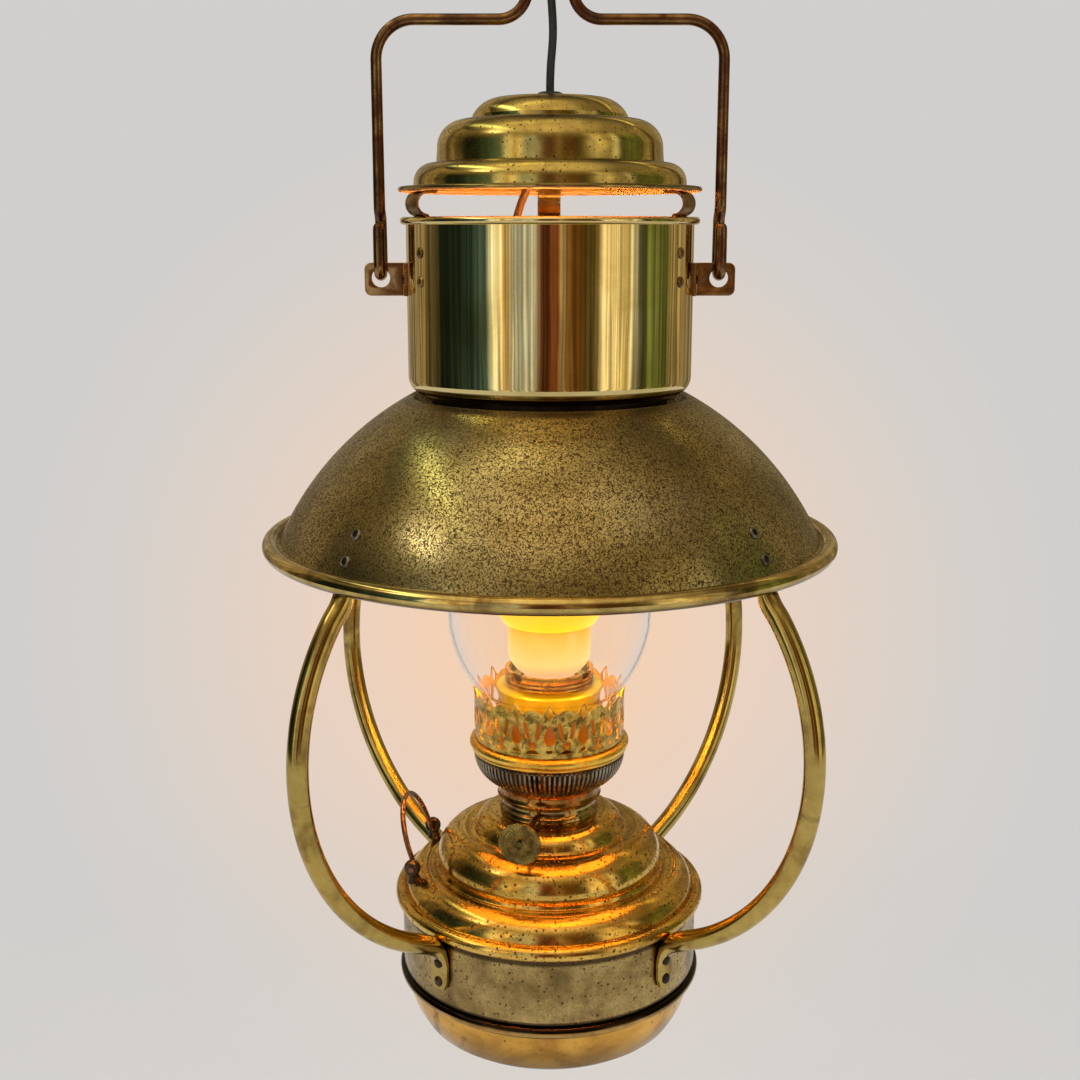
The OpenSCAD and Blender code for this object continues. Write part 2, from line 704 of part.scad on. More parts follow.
module shade_rivets() {
    grip = tab_t + shade_t + gap;
    color("#5d5038")
    for (a = arm_angles, s = [-1, 1])
        rotate([0, 0, a])
        on_shade(tab_up + s * rivet_pitch / 2)
        translate([shade_t - grip, 0, 0])
        rivet(grip);
}

module holder_band() {
    ledge = 3;
    color("#a3946c")
    union() {
        tube(band_r, band_r - band_t, band_low_z, band_top_z);
        tube(band_r - band_t / 2, band_r - band_t - ledge, band_low_z - band_t, band_low_z);
    }
}

module band_rivets() {
    grip = tab_t + band_t + gap;
    z0 = band_top_z - tab_low_h + rivet_d / 2 + 1.2;
    color("#3d3222")
    for (a = arm_angles, up = [0, 9.5])
        rotate([0, 0, a])
        translate([band_r + gap + tab_t - grip, 0, z0 + up])
        rivet(grip);
}

module drip_dish() {
    top_z = band_low_z - band_t;
    line = concat([[band_r - 1.6, top_z], [band_r - 1.6, dish_bead_z]],
                  arc([band_r - 1.8, dish_bead_z - dish_bead_r], [band_r - 8, dish_low_z + dish_h * 0.43], 1.3, 4),
                  arc([band_r - 9.4, dish_low_z + dish_h * 0.38], [dish_floor_r, dish_low_z + 1], 3.4, 8),
                  [[dish_floor_r * 0.6, dish_low_z], [0, dish_low_z]]);
    color("#b08d4a")
    union() {
        rotate_extrude()
        polygon(sheet(line, -band_t));
        bead(band_r + 1.9 - dish_bead_r, dish_bead_z, dish_bead_r);
    }
}

module tank_cup() {
    corner = 5;
    color("#9a8354")
    rotate_extrude()
    polygon(sheet(concat([[tank_r, tank_bead_z - tank_bead_r * 0.85]],
                         arc([tank_r, tank_low_z + corner], [tank_r - corner, tank_low_z], 0.293 * corner, 5),
                         [[0, tank_low_z]]), -sheet_t));
}

// Tank dome profile from the collar outwards and down
function tank_profile() =
    concat([[collar_r - 1.5, tank_top_z]],
           arc([collar_r + 2, tank_top_z - 0.4], [tank_step3_r, tank_step3_z + 0.4], 2.2),
           [[tank_step3_r + 1.6, tank_step3_z - 1]],
           arc([tank_step3_r + 5, tank_step3_z - 0.6], [tank_step2_r - 0.2, tank_step2_z + 1.6], 5.4, 9),
           [[tank_step2_r + 0.6, tank_step2_z]],
           arc([tank_step2_r + 3.5, tank_step2_z + 0.4], [tank_r, tank_bead_z + 0.6], 4.4, 8),
           [[tank_r, tank_bead_z]]);

module tank_top() {
    color("#b3924c")
    union() {
        rotate_extrude()
        polygon(sheet(tank_profile(), -sheet_t));
        bead(tank_r + tank_bead_out, tank_bead_z, tank_bead_r);
    }
}

module tank_collar() {
    color("#6b4c24")
    tube(collar_r - 0.6, collar_r - 3, tank_top_z, collar_top_z);
}

// Axis of the carrying ring's hinge: distance out and height on the tank's outer step
ring_x = tank_step2_r + 9.3;
ring_z = tank_step2_z + 4;

// Puts its child at the ring's hinge: +X out from the tank, +Y along the hinge
module at_ring() {
    rotate([0, 0, 180 - ring_turn])
    translate([ring_x, 0, ring_z])
    children();
}

// Width of each lug along the hinge
lug_w = 5;

module ring_lugs() {
    lug_r = 3.8;
    color("#2e2419")
    difference() {
        at_ring()
        for (s = [-1, 1])
            translate([0, s * (ring_w / 2 + ring_wire_d / 2 + gap + lug_w / 2) - lug_w / 2, 0])
            difference() {
                union() {
                    rotate([-90, 0, 0])
                    cylinder(h = lug_w, r = lug_r, $fn = 32);
                    translate([-lug_r, 0, -8])
                    cube([lug_r * 2, lug_w, 8]);
                }
                translate([0, -cut, 0])
                rotate([-90, 0, 0])
                cylinder(h = lug_w + 2 * cut, r = ring_wire_d / 2 + wick_gap, $fn = 32);
            }
        rotate_extrude()
        polygon(concat([[0, tank_bead_z], [0, tank_top_z]], tank_profile()));
    }
}

module tank_ring() {
    bow_r = ring_w / 2;
    pin_l = ring_wire_d / 2 + gap + lug_w + 0.6;
    color("#7a4a24")
    at_ring()
    rotate([0, ring_lean, 0])
    rotate([0, 0, 90])
    union() {
        bend(0, ring_h - bow_r, bow_r, 0, 180, ring_wire_d / 2);
        for (s = [-1, 1]) {
            rod([s * bow_r, 0, 0], [s * bow_r, 0, ring_h - bow_r], ring_wire_d / 2);
            rod([s * bow_r, 0, 0], [s * (bow_r + pin_l), 0, 0], ring_wire_d / 2);
            translate([s * bow_r, 0, 0])
            sphere(ring_wire_d / 2, $fn = 32);
        }
    }
}

// Bore of the burner's neck
neck_bore_r = collar_r - 3.5;

module burner_neck() {
    lower_h = 5.4;
    lip_h = 2.6;
    color("#a06a28")
    difference() {
        union() {
            rotate_extrude()
            polygon([[neck_bore_r, collar_top_z], [collar_r - 0.6, collar_top_z], [collar_r + 0.8, collar_top_z + lower_h],
                     [collar_r - 1.2, collar_top_z + lower_h], [collar_r - 1.2, basket_low_z - lip_h],
                     [collar_r + 0.6, basket_low_z - lip_h], [collar_r + 0.6, basket_low_z],
                     [neck_bore_r, basket_low_z]]);
            tube(collar_r - 3 - gap / 3, collar_r - 4.6, tank_top_z - 3, collar_top_z + 0.5);
        }
        wick_line(0, collar_r * 2, wick_shaft_d / 2 + wick_gap);
    }
}

// Rod on the wick wheel's axis, from distance a to b
module wick_line(a, b, r) {
    rotate([0, 0, -90 - knob_turn])
    rod([a, 0, shaft_z], [b, 0, shaft_z], r);
}

module air_basket() {
    base_r = collar_r + 1.5;
    line = concat([[collar_r - 1.5, basket_low_z], [base_r, basket_low_z]],
                  arc([base_r + 0.5, basket_low_z + 0.3], [basket_r, basket_top_z - 3], -2.2, 8),
                  [[basket_r, basket_top_z]]);
    color("#5c5440")
    difference() {
        rotate_extrude()
        polygon(sheet(line, 1));
        for (i = [0:slot_count - 1])
            rotate([0, 0, 360 * i / slot_count])
            translate([base_r, -slot_w / 2, basket_low_z + 2])
            cube([basket_r, slot_w, basket_h - 5]);
    }
}

module wick_tube() {
    tube_r = 11;
    color("#8f7440")
    union() {
        tube(tube_r, tube_r - 1, shaft_z + 4, socket_low_z - gap);
        tube(neck_bore_r, tube_r - 1, basket_low_z - 1, basket_low_z);
    }
}

module gallery_ring() {
    color("#c2953a")
    union() {
        bead(gallery_r - gallery_bead_r, gallery_z, gallery_bead_r);
        tube(gallery_r - gallery_bead_r, deck_r - 2.5, basket_top_z, basket_top_z + 1.2);
        tube(crown_r + 1, deck_r - 2.5, basket_top_z + 1.2, crown_low_z);
    }
}

// Lens-shaped cutter on the crown's wall, pointed above and below, w wide and h high
module crown_lens(turn, z, w, h) {
    r = (w * w + h * h) / (4 * w);
    rotate([0, 0, turn])
    translate([crown_r - crown_t - cut, 0, z])
    rotate([0, 90, 0])
    intersection() {
        translate([0, w / 2 - r, 0])
        cylinder(h = crown_t + 2 * cut, r = r, $fn = 48);
        translate([0, r - w / 2, 0])
        cylinder(h = crown_t + 2 * cut, r = r, $fn = 48);
    }
}

// Round cutter on the crown's wall
module crown_hole(turn, z, r) {
    rotate([0, 0, turn])
    translate([crown_r - crown_t - cut, 0, z])
    rotate([0, 90, 0])
    cylinder(h = crown_t + 2 * cut, r = r, $fn = 24);
}

module gallery_crown() {
    step = 360 / crown_count;
    color("#cfa144")
    difference() {
        tube(crown_r, crown_r - crown_t, crown_low_z, crown_top_z);
        for (i = [0:crown_count - 1]) {
            crown_lens(step * i, crown_low_z + 11.2, 6.2, 11.5);
            crown_hole(step * i, crown_low_z + 3.4, 1.1);
            for (s = [-1, 1]) {
                crown_lens(step * (i + 0.5 + s * 0.13), crown_low_z + 10.6, 2.1, 8);
                crown_hole(step * (i + 0.5 + s * 0.12), crown_low_z + 4.2, 0.9);
            }
            crown_hole(step * i, crown_top_z + 0.4, 5.6);
            crown_hole(step * (i + 0.5), crown_top_z - 4.4, 1);
        }
    }
}

module gallery_deck() {
    color("#d9a936")
    union() {
        tube(deck_r, socket_r + 1.2, deck_z - 1.2, deck_z);
        tube(deck_r, deck_r - 1.2, crown_low_z, deck_z - 1.2);
    }
}

module lamp_holder() {
    groove = 0.7;
    wall = 2.2;
    slot = 7;
    slot_h = 3.6;
    base_z = deck_z + wall;
    ribs_h = (holder_top_z - base_z) / 4;
    color("#a8702b")
    difference() {
        union() {
            tube(holder_r, socket_r, deck_z, base_z);
            tube(socket_r + 0.8, socket_r, socket_low_z, deck_z);
            translate([0, 0, socket_low_z])
            cylinder(h = 1.2, r = socket_r + 0.8);
            for (i = [0:2])
                tube(holder_r - (i % 2) * groove, holder_r - wall, base_z + i * ribs_h, base_z + (i + 1) * ribs_h);
            tube(holder_r - groove, holder_r - wall, base_z + 3 * ribs_h, holder_top_z);
        }
        for (s = [-1, 1])
            translate([s * 15 - slot / 2, -holder_r * 1.5, holder_top_z - slot_h])
            cube([slot, holder_r * 1.5, 2 * slot_h]);
    }
}

module wick_shaft() {
    teeth = 10;
    color("#7e6332")
    rotate([0, 0, -90 - knob_turn])
    translate([0, 0, shaft_z])
    rotate([0, 90, 0])
    union() {
        cylinder(h = knob_out - knob_t, d = wick_shaft_d, $fn = 32);
        for (x = [4, 10])
            translate([0, 0, x])
            for (i = [0:teeth / 2 - 1])
                rotate([0, 0, 360 * i / teeth])
                cube([6.4, 1, 1], center = true);
    }
}

module wick_knob() {
    color("#9b7f3f")
    rotate([0, 0, -90 - knob_turn])
    translate([knob_out - knob_t, 0, shaft_z])
    rotate([0, 90, 0])
    rotate_extrude()
    polygon([[0, 0], [2.6, 0], [2.6, 0.4], [knob_d / 2 - 0.5, 0.4], [knob_d / 2, 0.8], [knob_d / 2, knob_t],
             [knob_d / 2 - 0.7, knob_t + 0.3], [knob_d / 2 - 1.6, knob_t], [1.6, knob_t], [1.3, knob_t + 0.5],
             [0, knob_t + 0.5]]);
}

module glass_chimney() {
    z = glass_low_z;
    bulge_z = z + glass_bulge_h;
    shoulder_z = z + glass_shoulder_h;
    color([0.9, 0.95, 0.97, 0.35])
    rotate_extrude()
    polygon(sheet(concat([[glass_foot_r, z], [glass_foot_r, z + 17.5]],
                         arc([glass_foot_r + 0.6, z + 22], [glass_bulge_r, bulge_z], -2.8, 10),
                         arc([glass_bulge_r, bulge_z + 1], [glass_tube_r + 6, shoulder_z - 8], -6, 10),
                         [[glass_tube_r + 1.5, shoulder_z + 4], [glass_tube_r, shoulder_z + 20],
                          [glass_tube_r, glass_top_z]]), glass_t));
}

module bulb_cap() {
    tip_h = 3;
    thread_r = 0.7;
    color("#b9b9b4")
    union() {
        translate([0, 0, bulb_z - bulb_cap_h])
        cylinder(h = bulb_cap_h, r = bulb_cap_r);
        for (i = [0:2])
            bead(bulb_cap_r, bulb_z - bulb_cap_h + 3 + i * 3.6, thread_r);
        translate([0, 0, bulb_z - bulb_cap_h - tip_h])
        cylinder(h = tip_h, r = 5);
    }
}

// Height of the joint between the bulb's body and its dome
bulb_joint_z = bulb_z + bulb_body_h;

module bulb_body() {
    color("#efe6d2")
    rotate_extrude()
    polygon(concat([[0, bulb_z], [bulb_cap_r + 0.5, bulb_z]],
                   arc([bulb_cap_r + 2.4, bulb_z + 1], [bulb_neck_r - 0.4, bulb_z + bulb_body_h * 0.34], -1, 5),
                   [[bulb_neck_r, bulb_z + bulb_body_h * 0.45], [bulb_neck_r, bulb_joint_z], [0, bulb_joint_z]]));
}

module bulb_dome() {
    mid_z = bulb_z + bulb_h - bulb_r;
    start = asin((bulb_joint_z - mid_z + 0.8) / bulb_r);
    color("#ffd76a")
    rotate_extrude()
    polygon(concat([[0, bulb_joint_z], [bulb_neck_r - 0.4, bulb_joint_z]],
                   [for (i = [0:18]) let (a = start + (90 - start) * i / 18) [bulb_r * cos(a), mid_z + bulb_r * sin(a)]]));
}

bail();
supply_cord();
cord_connector();
cap();
cord_grommet();
cap_straps();
strap_rivets();
hood();
ear_left();
ear_right();
ear_rivets();
neck_ring();
inner_lead();
shade();
arm_front_left();
arm_front_right();
arm_back_left();
arm_back_right();
shade_rivets();
holder_band();
band_rivets();
drip_dish();
tank_cup();
tank_top();
tank_collar();
ring_lugs();
tank_ring();
burner_neck();
air_basket();
wick_tube();
gallery_ring();
gallery_crown();
gallery_deck();
lamp_holder();
wick_shaft();
wick_knob();
glass_chimney();
bulb_cap();
bulb_body();
bulb_dome();
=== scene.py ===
"""Looks of the hanging ship lamp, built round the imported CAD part. Millimetres in the code, metres in the mesh."""

import json
import math

import bmesh
import bpy
from mathutils import Matrix, Vector


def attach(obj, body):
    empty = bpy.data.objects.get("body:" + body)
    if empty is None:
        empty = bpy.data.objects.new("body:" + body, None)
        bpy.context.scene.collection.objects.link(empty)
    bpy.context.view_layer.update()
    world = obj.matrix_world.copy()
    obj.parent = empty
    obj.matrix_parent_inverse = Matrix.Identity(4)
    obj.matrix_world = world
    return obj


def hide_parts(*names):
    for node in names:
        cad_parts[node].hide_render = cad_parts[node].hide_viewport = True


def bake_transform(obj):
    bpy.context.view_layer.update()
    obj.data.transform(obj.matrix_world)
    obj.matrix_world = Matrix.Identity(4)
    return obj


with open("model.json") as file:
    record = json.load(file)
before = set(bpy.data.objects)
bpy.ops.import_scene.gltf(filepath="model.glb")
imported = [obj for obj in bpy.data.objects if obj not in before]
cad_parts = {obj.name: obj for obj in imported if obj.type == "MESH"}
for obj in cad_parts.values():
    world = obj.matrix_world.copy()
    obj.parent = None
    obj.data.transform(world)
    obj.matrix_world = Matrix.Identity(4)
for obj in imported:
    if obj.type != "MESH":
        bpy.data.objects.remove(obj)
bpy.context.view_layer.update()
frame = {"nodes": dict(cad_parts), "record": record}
scene = bpy.context.scene
scene.view_settings.view_transform = "Standard"
MM = 0.001

# Camera, fitted to the photograph
EYE, LENS, TILT = (-0.00455, -0.6716, -0.1288), 47.75, 12.33
camera_data = bpy.data.cameras.new("camera")
camera_data.sensor_width = 36
camera_data.lens = LENS
camera = bpy.data.objects.new("camera", camera_data)
camera.location = EYE
camera.rotation_euler = (math.radians(90 - TILT), 0, 0)
scene.collection.objects.link(camera)
scene.camera = camera


# Shapes
def spread(a, b, n):
    """n + 1 even values from a to b."""
    return [a + (b - a) * i / n for i in range(n + 1)]


def polar(r, degrees, x=0, z=0):
    return x + r * math.cos(math.radians(degrees)), z + r * math.sin(math.radians(degrees))


def ring(x, z, r, a0, a1, n):
    """Points of a circle about (x, z), from angle a0 to a1 in degrees."""
    return [polar(r, a, x, z) for a in spread(a0, a1, n)]


def circle(x, z, r, n):
    return ring(x, z, r, 0, 360, n)[:-1]


def circle_of(a, b, rise):
    """Centre, radius, first angle and turn of the arc from a to b that bows to the left of the way by rise."""
    a, b = Vector(a), Vector(b)
    c, h = (b - a).length, abs(rise)
    r = (c * c / 4 + h * h) / (2 * h)
    s = 1 if rise > 0 else -1
    side = Vector((a.y - b.y, b.x - a.x)) * (s / c)
    o = (a + b) / 2 - side * (r - h)
    return o, r, math.atan2(a.y - o.y, a.x - o.x), -2 * s * math.asin(c / (2 * r))


def arc(a, b, rise, n):
    """Points of that arc."""
    o, r, start, turn = circle_of(a, b, rise)
    return [(o.x + r * math.cos(t), o.y + r * math.sin(t)) for t in spread(start, start + turn, n)]


def shift(line, x=0, z=0):
    return [(a + x, b + z) for a, b in line]


def heading(p, i):
    """Direction of a line of vectors at its point i."""
    return (p[min(i + 1, len(p) - 1)] - p[max(i - 1, 0)]).normalized()


def offset(line, t):
    """The line moved to the left by t, with mitred corners."""
    p = [Vector(q) for q in line]

    def left(a, b):
        d = (b - a).normalized()
        return Vector((-d.y, d.x))

    out = []
    for i, q in enumerate(p):
        n1 = left(p[max(i - 1, 0)], p[max(i, 1)])
        n2 = left(p[min(i, len(p) - 2)], p[min(i + 1, len(p) - 1)])
        out.append(tuple(q + (n1 + n2) * (t / (1 + n1.dot(n2)))))
    return out


def sheet(line, t):
    """Closed outline of a sheet along a line, with its thickness to the left."""
    return list(line) + offset(line, t)[::-1]


def soften(line, r):
    """The line with its corners rounded to about radius r."""
    p = [Vector(q) for q in line]
    out = [tuple(p[0])]
    for a, b, c in zip(p, p[1:], p[2:]):
        u, v = a - b, c - b
        turn = math.pi - u.angle(v)
        if turn < math.radians(14):
            out.append(tuple(b))
            continue
        cutback = min(r * math.tan(turn / 2), u.length * 0.45, v.length * 0.45)
        s, e = b + u.normalized() * cutback, b + v.normalized() * cutback
        out += [tuple(s * (1 - t) ** 2 + b * (2 * t * (1 - t)) + e * t ** 2) for t in spread(0, 1, 4)]
    return out + [tuple(p[-1])]


def smooth_route(points, per):
    """Catmull-Rom line through points of any dimension."""
    p = [list(q) for q in points]
    p = [[2 * a - b for a, b in zip(p[0], p[1])]] + p + [[2 * a - b for a, b in zip(p[-1], p[-2])]]
    out = []
    for i in range(1, len(p) - 2):
        for t in spread(0, 1, per)[:-1]:
            out.append([0.5 * (2 * b + (c - a) * t + (2 * a - 5 * b + 4 * c - d) * t * t
                               + (3 * b - a - 3 * c + d) * t ** 3)
                        for a, b, c, d in zip(p[i - 1], p[i], p[i + 1], p[i + 2])])
    return out + [p[-2]]


# Parts, each a pair of points and faces, and the pieces joined from them
def lathe(profile, n, closed=True):
    """A profile of (radius, height) turned about the lamp's axis."""
    verts, rings = [], []
    for r, z in profile:
        if r < 1e-6:
            rings.append([len(verts)] * n)
            verts.append((0, 0, z))
        else:
            rings.append(list(range(len(verts), len(verts) + n)))
            verts += [(*polar(r, 360 * j / n), z) for j in range(n)]
    faces = []
    for a, b in zip(rings, rings[1:] + rings[:closed]):
        for j in range(n):
            k = (j + 1) % n
            face = list(dict.fromkeys((a[j], a[k], b[k], b[j])))
            if len(face) > 2:
                faces.append(face)
    return verts, faces


def spun(line, t, n, corner=0.6):
    """Spun sheet along a line with thickness t on its left and softened corners."""
    return lathe(sheet(soften(line, corner), t), n)


def bead(r, z, wire, n, sides=28):
    return lathe(circle(r, z, wire, sides), n)


def loft(rings):
    """Skin over rings of as many points each, with flat ends."""
    m, last = len(rings[0]), len(rings) - 1
    faces = []
    for a in range(0, last * m, m):
        faces += [[a + j, a + (j + 1) % m, a + m + (j + 1) % m, a + m + j] for j in range(m)]
    faces += [list(range(m))[::-1], [last * m + j for j in range(m)]]
    return [p for ring in rings for p in ring], faces


def part_lathe(profile, a0, a1, n):
    """Closed profile turned only from angle a0 to a1 in degrees."""
    return loft([[(*polar(r, a), z) for r, z in profile] for a in spread(a0, a1, n)])


def sweep(route, radius, sides):
    """Round rod along a route; radius is a number or a list."""
    p = [Vector(q) for q in route]
    radii = radius if isinstance(radius, list) else [radius] * len(p)
    rings, u = [], heading(p, 0).orthogonal().normalized()
    for i, r in enumerate(radii):
        d = heading(p, i)
        u = (u - d * u.dot(d)).normalized()
        v = d.cross(u)
        rings.append([p[i] + (u * c + v * s) * r for c, s in circle(0, 0, 1, sides)])
    return loft(rings)


def plate(outline, holes, t, bevel):
    """Flat plate in the XZ plane with holes, of thickness t about y = 0, edges softened."""
    curve = bpy.data.curves.new("outline", "CURVE")
    curve.dimensions = "2D"
    curve.fill_mode = "BOTH"
    for loop in [outline] + holes:
        spline = curve.splines.new("POLY")
        spline.points.add(len(loop) - 1)
        for point, (x, z) in zip(spline.points, loop):
            point.co = (x, z, 0, 1)
        spline.use_cyclic_u = True
    curve.extrude = t / 2 - bevel
    curve.bevel_depth = bevel
    curve.bevel_resolution = 2
    curve.offset = -bevel
    thing = bpy.data.objects.new("outline", curve)
    scene.collection.objects.link(thing)
    mesh = bpy.data.meshes.new_from_object(thing.evaluated_get(bpy.context.evaluated_depsgraph_get()))
    part = [(v.co.x, -v.co.z, v.co.y) for v in mesh.vertices], [list(f.vertices) for f in mesh.polygons]
    bpy.data.objects.remove(thing)
    bpy.data.curves.remove(curve)
    bpy.data.meshes.remove(mesh)
    return part


def dome_rivet(r, h, shank=0):
    """Rivet head along +X from its seat at 0, with a rolled hollow in the middle if shank is over 0."""
    if shank:
        line = [(r, 0), (r, h * 0.45)] + arc((r - 0.05, h * 0.5), (shank, h * 0.75), -0.25 * h, 5)
        line += [(shank * 0.9, -h * 0.1), (0, -h * 0.3)]
    else:
        line = [(r, 0), (r, h * 0.3)] + arc((r - 0.05, h * 0.35), (0, h), -h * 0.28, 7)
    verts, faces = lathe(line, 28, closed=False)
    return [(z, y, -x) for x, y, z in verts], faces


def rotate(degrees, axis="Z"):
    return Matrix.Rotation(math.radians(degrees), 4, axis)


def move(x=0, y=0, z=0):
    return Matrix.Translation((x, y, z))


def placed(part, matrix):
    return [matrix @ Vector(p) for p in part[0]], part[1]


def join(name, parts, body, slot, replaces=(), look=None, smooth=40):
    """One piece from parts. Its look is its slot's, unless another is named."""
    verts, faces = [], []
    for points, polys in parts:
        base = len(verts)
        verts += [(x * MM, y * MM, z * MM) for x, y, z in points]
        faces += [[base + i for i in f] for f in polys]
    mesh = bpy.data.meshes.new(name)
    mesh.from_pydata(verts, [], faces)
    work = bmesh.new()
    work.from_mesh(mesh)
    bmesh.ops.remove_doubles(work, verts=work.verts, dist=1e-6)
    bmesh.ops.recalc_face_normals(work, faces=work.faces)
    work.to_mesh(mesh)
    work.free()
    mesh.shade_smooth()
    mesh.set_sharp_from_angle(angle=math.radians(smooth))
    mesh.materials.append(LOOKS[look or slot])
    thing = bpy.data.objects.new(name, mesh)
    scene.collection.objects.link(thing)
    if body:
        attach(thing, body)
    if replaces:
        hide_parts(*replaces)
    return thing


# Sizes and levels of the CAD part
SHEET, GAP = 0.8, 0.3
BAIL_X, PIVOT_Z, HOOK_R, ROD_R = 77.9, -145.342, 5, 2.5
BAIL_EYE_Z, BAIL_EYE_R, BAIL_BAR_Z, BAIL_BEND_R, EAR_TOP = -11.5, 14, -38.642, 13, PIVOT_Z + 0.45
HOOD_R, HOOD_TOP, HOOD_LOW = 65.8, -124.392, -204.392
CAP_R, CAP_Z, CAP_TOP = 69, -113.492, -72.692
STEP1_R, STEP2_R, STEP3_R = 62, 51.5, 35
STEP1_Z, STEP2_Z, STEP3_Z = -111.092, -100.692, -82.092
NECK_R, WELL_Z = 55, -211.892
SHADE_TOP_R, SHADE_EDGE_Z = 65, -205.392
SHADE_R, SHADE_BEAD_R, SHADE_BEAD_Z = 135.6, 3.8, -273.392
SHADE_FOOT, SHADE_BOW, SHADE_T = (127.4, -271.492), 7.3, 1
ARM_Z, ARM_BEND_R, ARM_MID_R = -353.292, 109, 43.8
ARM_ANGLES = [226.4, 316.4, 46.4, 136.4]
TAB_W, TAB_T, ARM_D, TAB_TOP_L = 10.5, 2.4, 9.4, 22
BAND_R, BAND_T, BAND_TOP, BAND_LOW = 73.5, 1.2, -456.992, -488.992
DISH_BEAD_Z, DISH_LOW, DISH_H = -492.892, -534.392, 45.4
TANK_R, TANK_BEAD_R, TANK_BEAD_Z, TANK_LOW = 71.7, 3.4, -453.292, -488.692
TANK_STEP2_R, TANK_STEP3_R = 55.3, 37
TANK_STEP2_Z, TANK_STEP3_Z, TANK_TOP = -440.492, -420.492, -411.492
RING_X, RING_Z, RING_TURN, RING_LEAN = 64.6, -436.492, 173, 18
RING_W, RING_H, WIRE_R = 44.2, 27.5, 1.3
COLLAR_R, COLLAR_Z, SHAFT_Z, NECK_Z, NECK_BORE = 24.8, -409.892, -407.592, -404, 21.3
BASKET_LOW, BASKET_TOP, TUBE_TOP = -396.192, -378.692, -363.3
GALLERY_Z, GALLERY_R, GALLERY_BEAD_R = -376.092, 39.2, 2.6
CROWN_LOW, CROWN_R, DECK_Z = -373.492, 36.6, -349.592
KNOB_OUT, KNOB_R, KNOB_TURN = 57, 10.2, -104.3
GLASS_LOW, GLASS_TOP = -373.192, -178.792
BULB_Z, BULB_JOINT, BULB_TOP, BULB_R = -344.392, -316.392, -270.392, 28


# Looks
LOOKS = {}


class Graph:
    """A node tree and short ways to add to it."""

    def __init__(self, tree):
        self.tree = tree
        tree.nodes.clear()

    def add(self, kind, inputs=(), **settings):
        """A new node, whose inputs by name or number are values or other nodes' outputs."""
        node = self.tree.nodes.new("ShaderNode" + kind)
        for key, value in settings.items():
            setattr(node, key, value)
        for key, value in dict(inputs).items():
            self.feed(node.inputs[key], value)
        return node

    def feed(self, socket, value):
        if isinstance(value, bpy.types.NodeSocket):
            self.tree.links.new(value, socket)
        else:
            socket.default_value = (*value, 1) if socket.type == "RGBA" else value

    def math(self, operation, *values):
        return self.add("Math", enumerate(values), operation=operation).outputs[0]

    def vector(self, operation, *values):
        out = "Value" if operation in ("LENGTH", "DOT_PRODUCT") else "Vector"
        return self.add("VectorMath", enumerate(values), operation=operation).outputs[out]

    def axis(self, vector, name):
        return self.add("SeparateXYZ", {"Vector": vector}).outputs[name]

    def away(self, value, level):
        """How far a value is from a level."""
        return self.math("ABSOLUTE", self.math("SUBTRACT", value, level))

    def ramp(self, value, *stops):
        """Colour or grey by value, from stops of (position, colour)."""
        node = self.add("ValToRGB", {"Fac": value})
        bar = node.color_ramp.elements
        while len(bar) < len(stops):
            bar.new(0.5)
        for element, (at, colour) in zip(bar, stops):
            element.position = at
            element.color = (*colour, 1) if isinstance(colour, tuple) else (colour, colour, colour, 1)
        return node.outputs["Color"]

    def seen(self):
        """1 for rays from the camera, through glass or off a mirror."""
        rays = self.add("LightPath").outputs
        direct = self.math("MAXIMUM", rays["Is Camera Ray"], rays["Is Transmission Ray"])
        return self.math("MAXIMUM", direct, rays["Is Glossy Ray"])


class Look(Graph):
    """The graph of a material, with its output and the lamp's own coordinates."""

    def __init__(self, name):
        self.name = name
        self.material = bpy.data.materials.new(name)
        self.material.use_nodes = True
        super().__init__(self.material.node_tree)
        self.out = self.add("OutputMaterial")
        self.place = self.add("TexCoord").outputs["Object"]

    def noise(self, scale, detail=3, rough=0.55, where=None, distortion=0):
        return self.add("TexNoise", {"Vector": where or self.place, "Scale": scale, "Detail": detail,
                                     "Roughness": rough, "Distortion": distortion}).outputs["Fac"]

    def mix(self, factor, a, b, mode="MIX"):
        return self.add("Mix", {0: factor, 6: a, 7: b}, data_type="RGBA", blend_type=mode).outputs[2]

    def bump(self, height, distance, strength, normal=None):
        inputs = {"Height": height, "Distance": distance, "Strength": strength}
        if normal is not None:
            inputs["Normal"] = normal
        return self.add("Bump", inputs).outputs[0]

    def show(self, kind, inputs):
        """Makes a new node the surface, and keeps the material under its name."""
        self.feed(self.out.inputs["Surface"], self.add(kind, inputs).outputs[0])
        LOOKS[self.name] = self.material


def srgb(*values):
    """Linear colour of display values from 0 to 255."""
    return tuple(round(v / 255 / 12.92 if v <= 10 else ((v / 255 + 0.055) / 1.055) ** 2.4, 4) for v in values)


# Dark of pits in the metal, also used for the painted shade in the creases of the cap's steps.
PIT_AND_SHADE = (0.055, 0.035, 0.018)


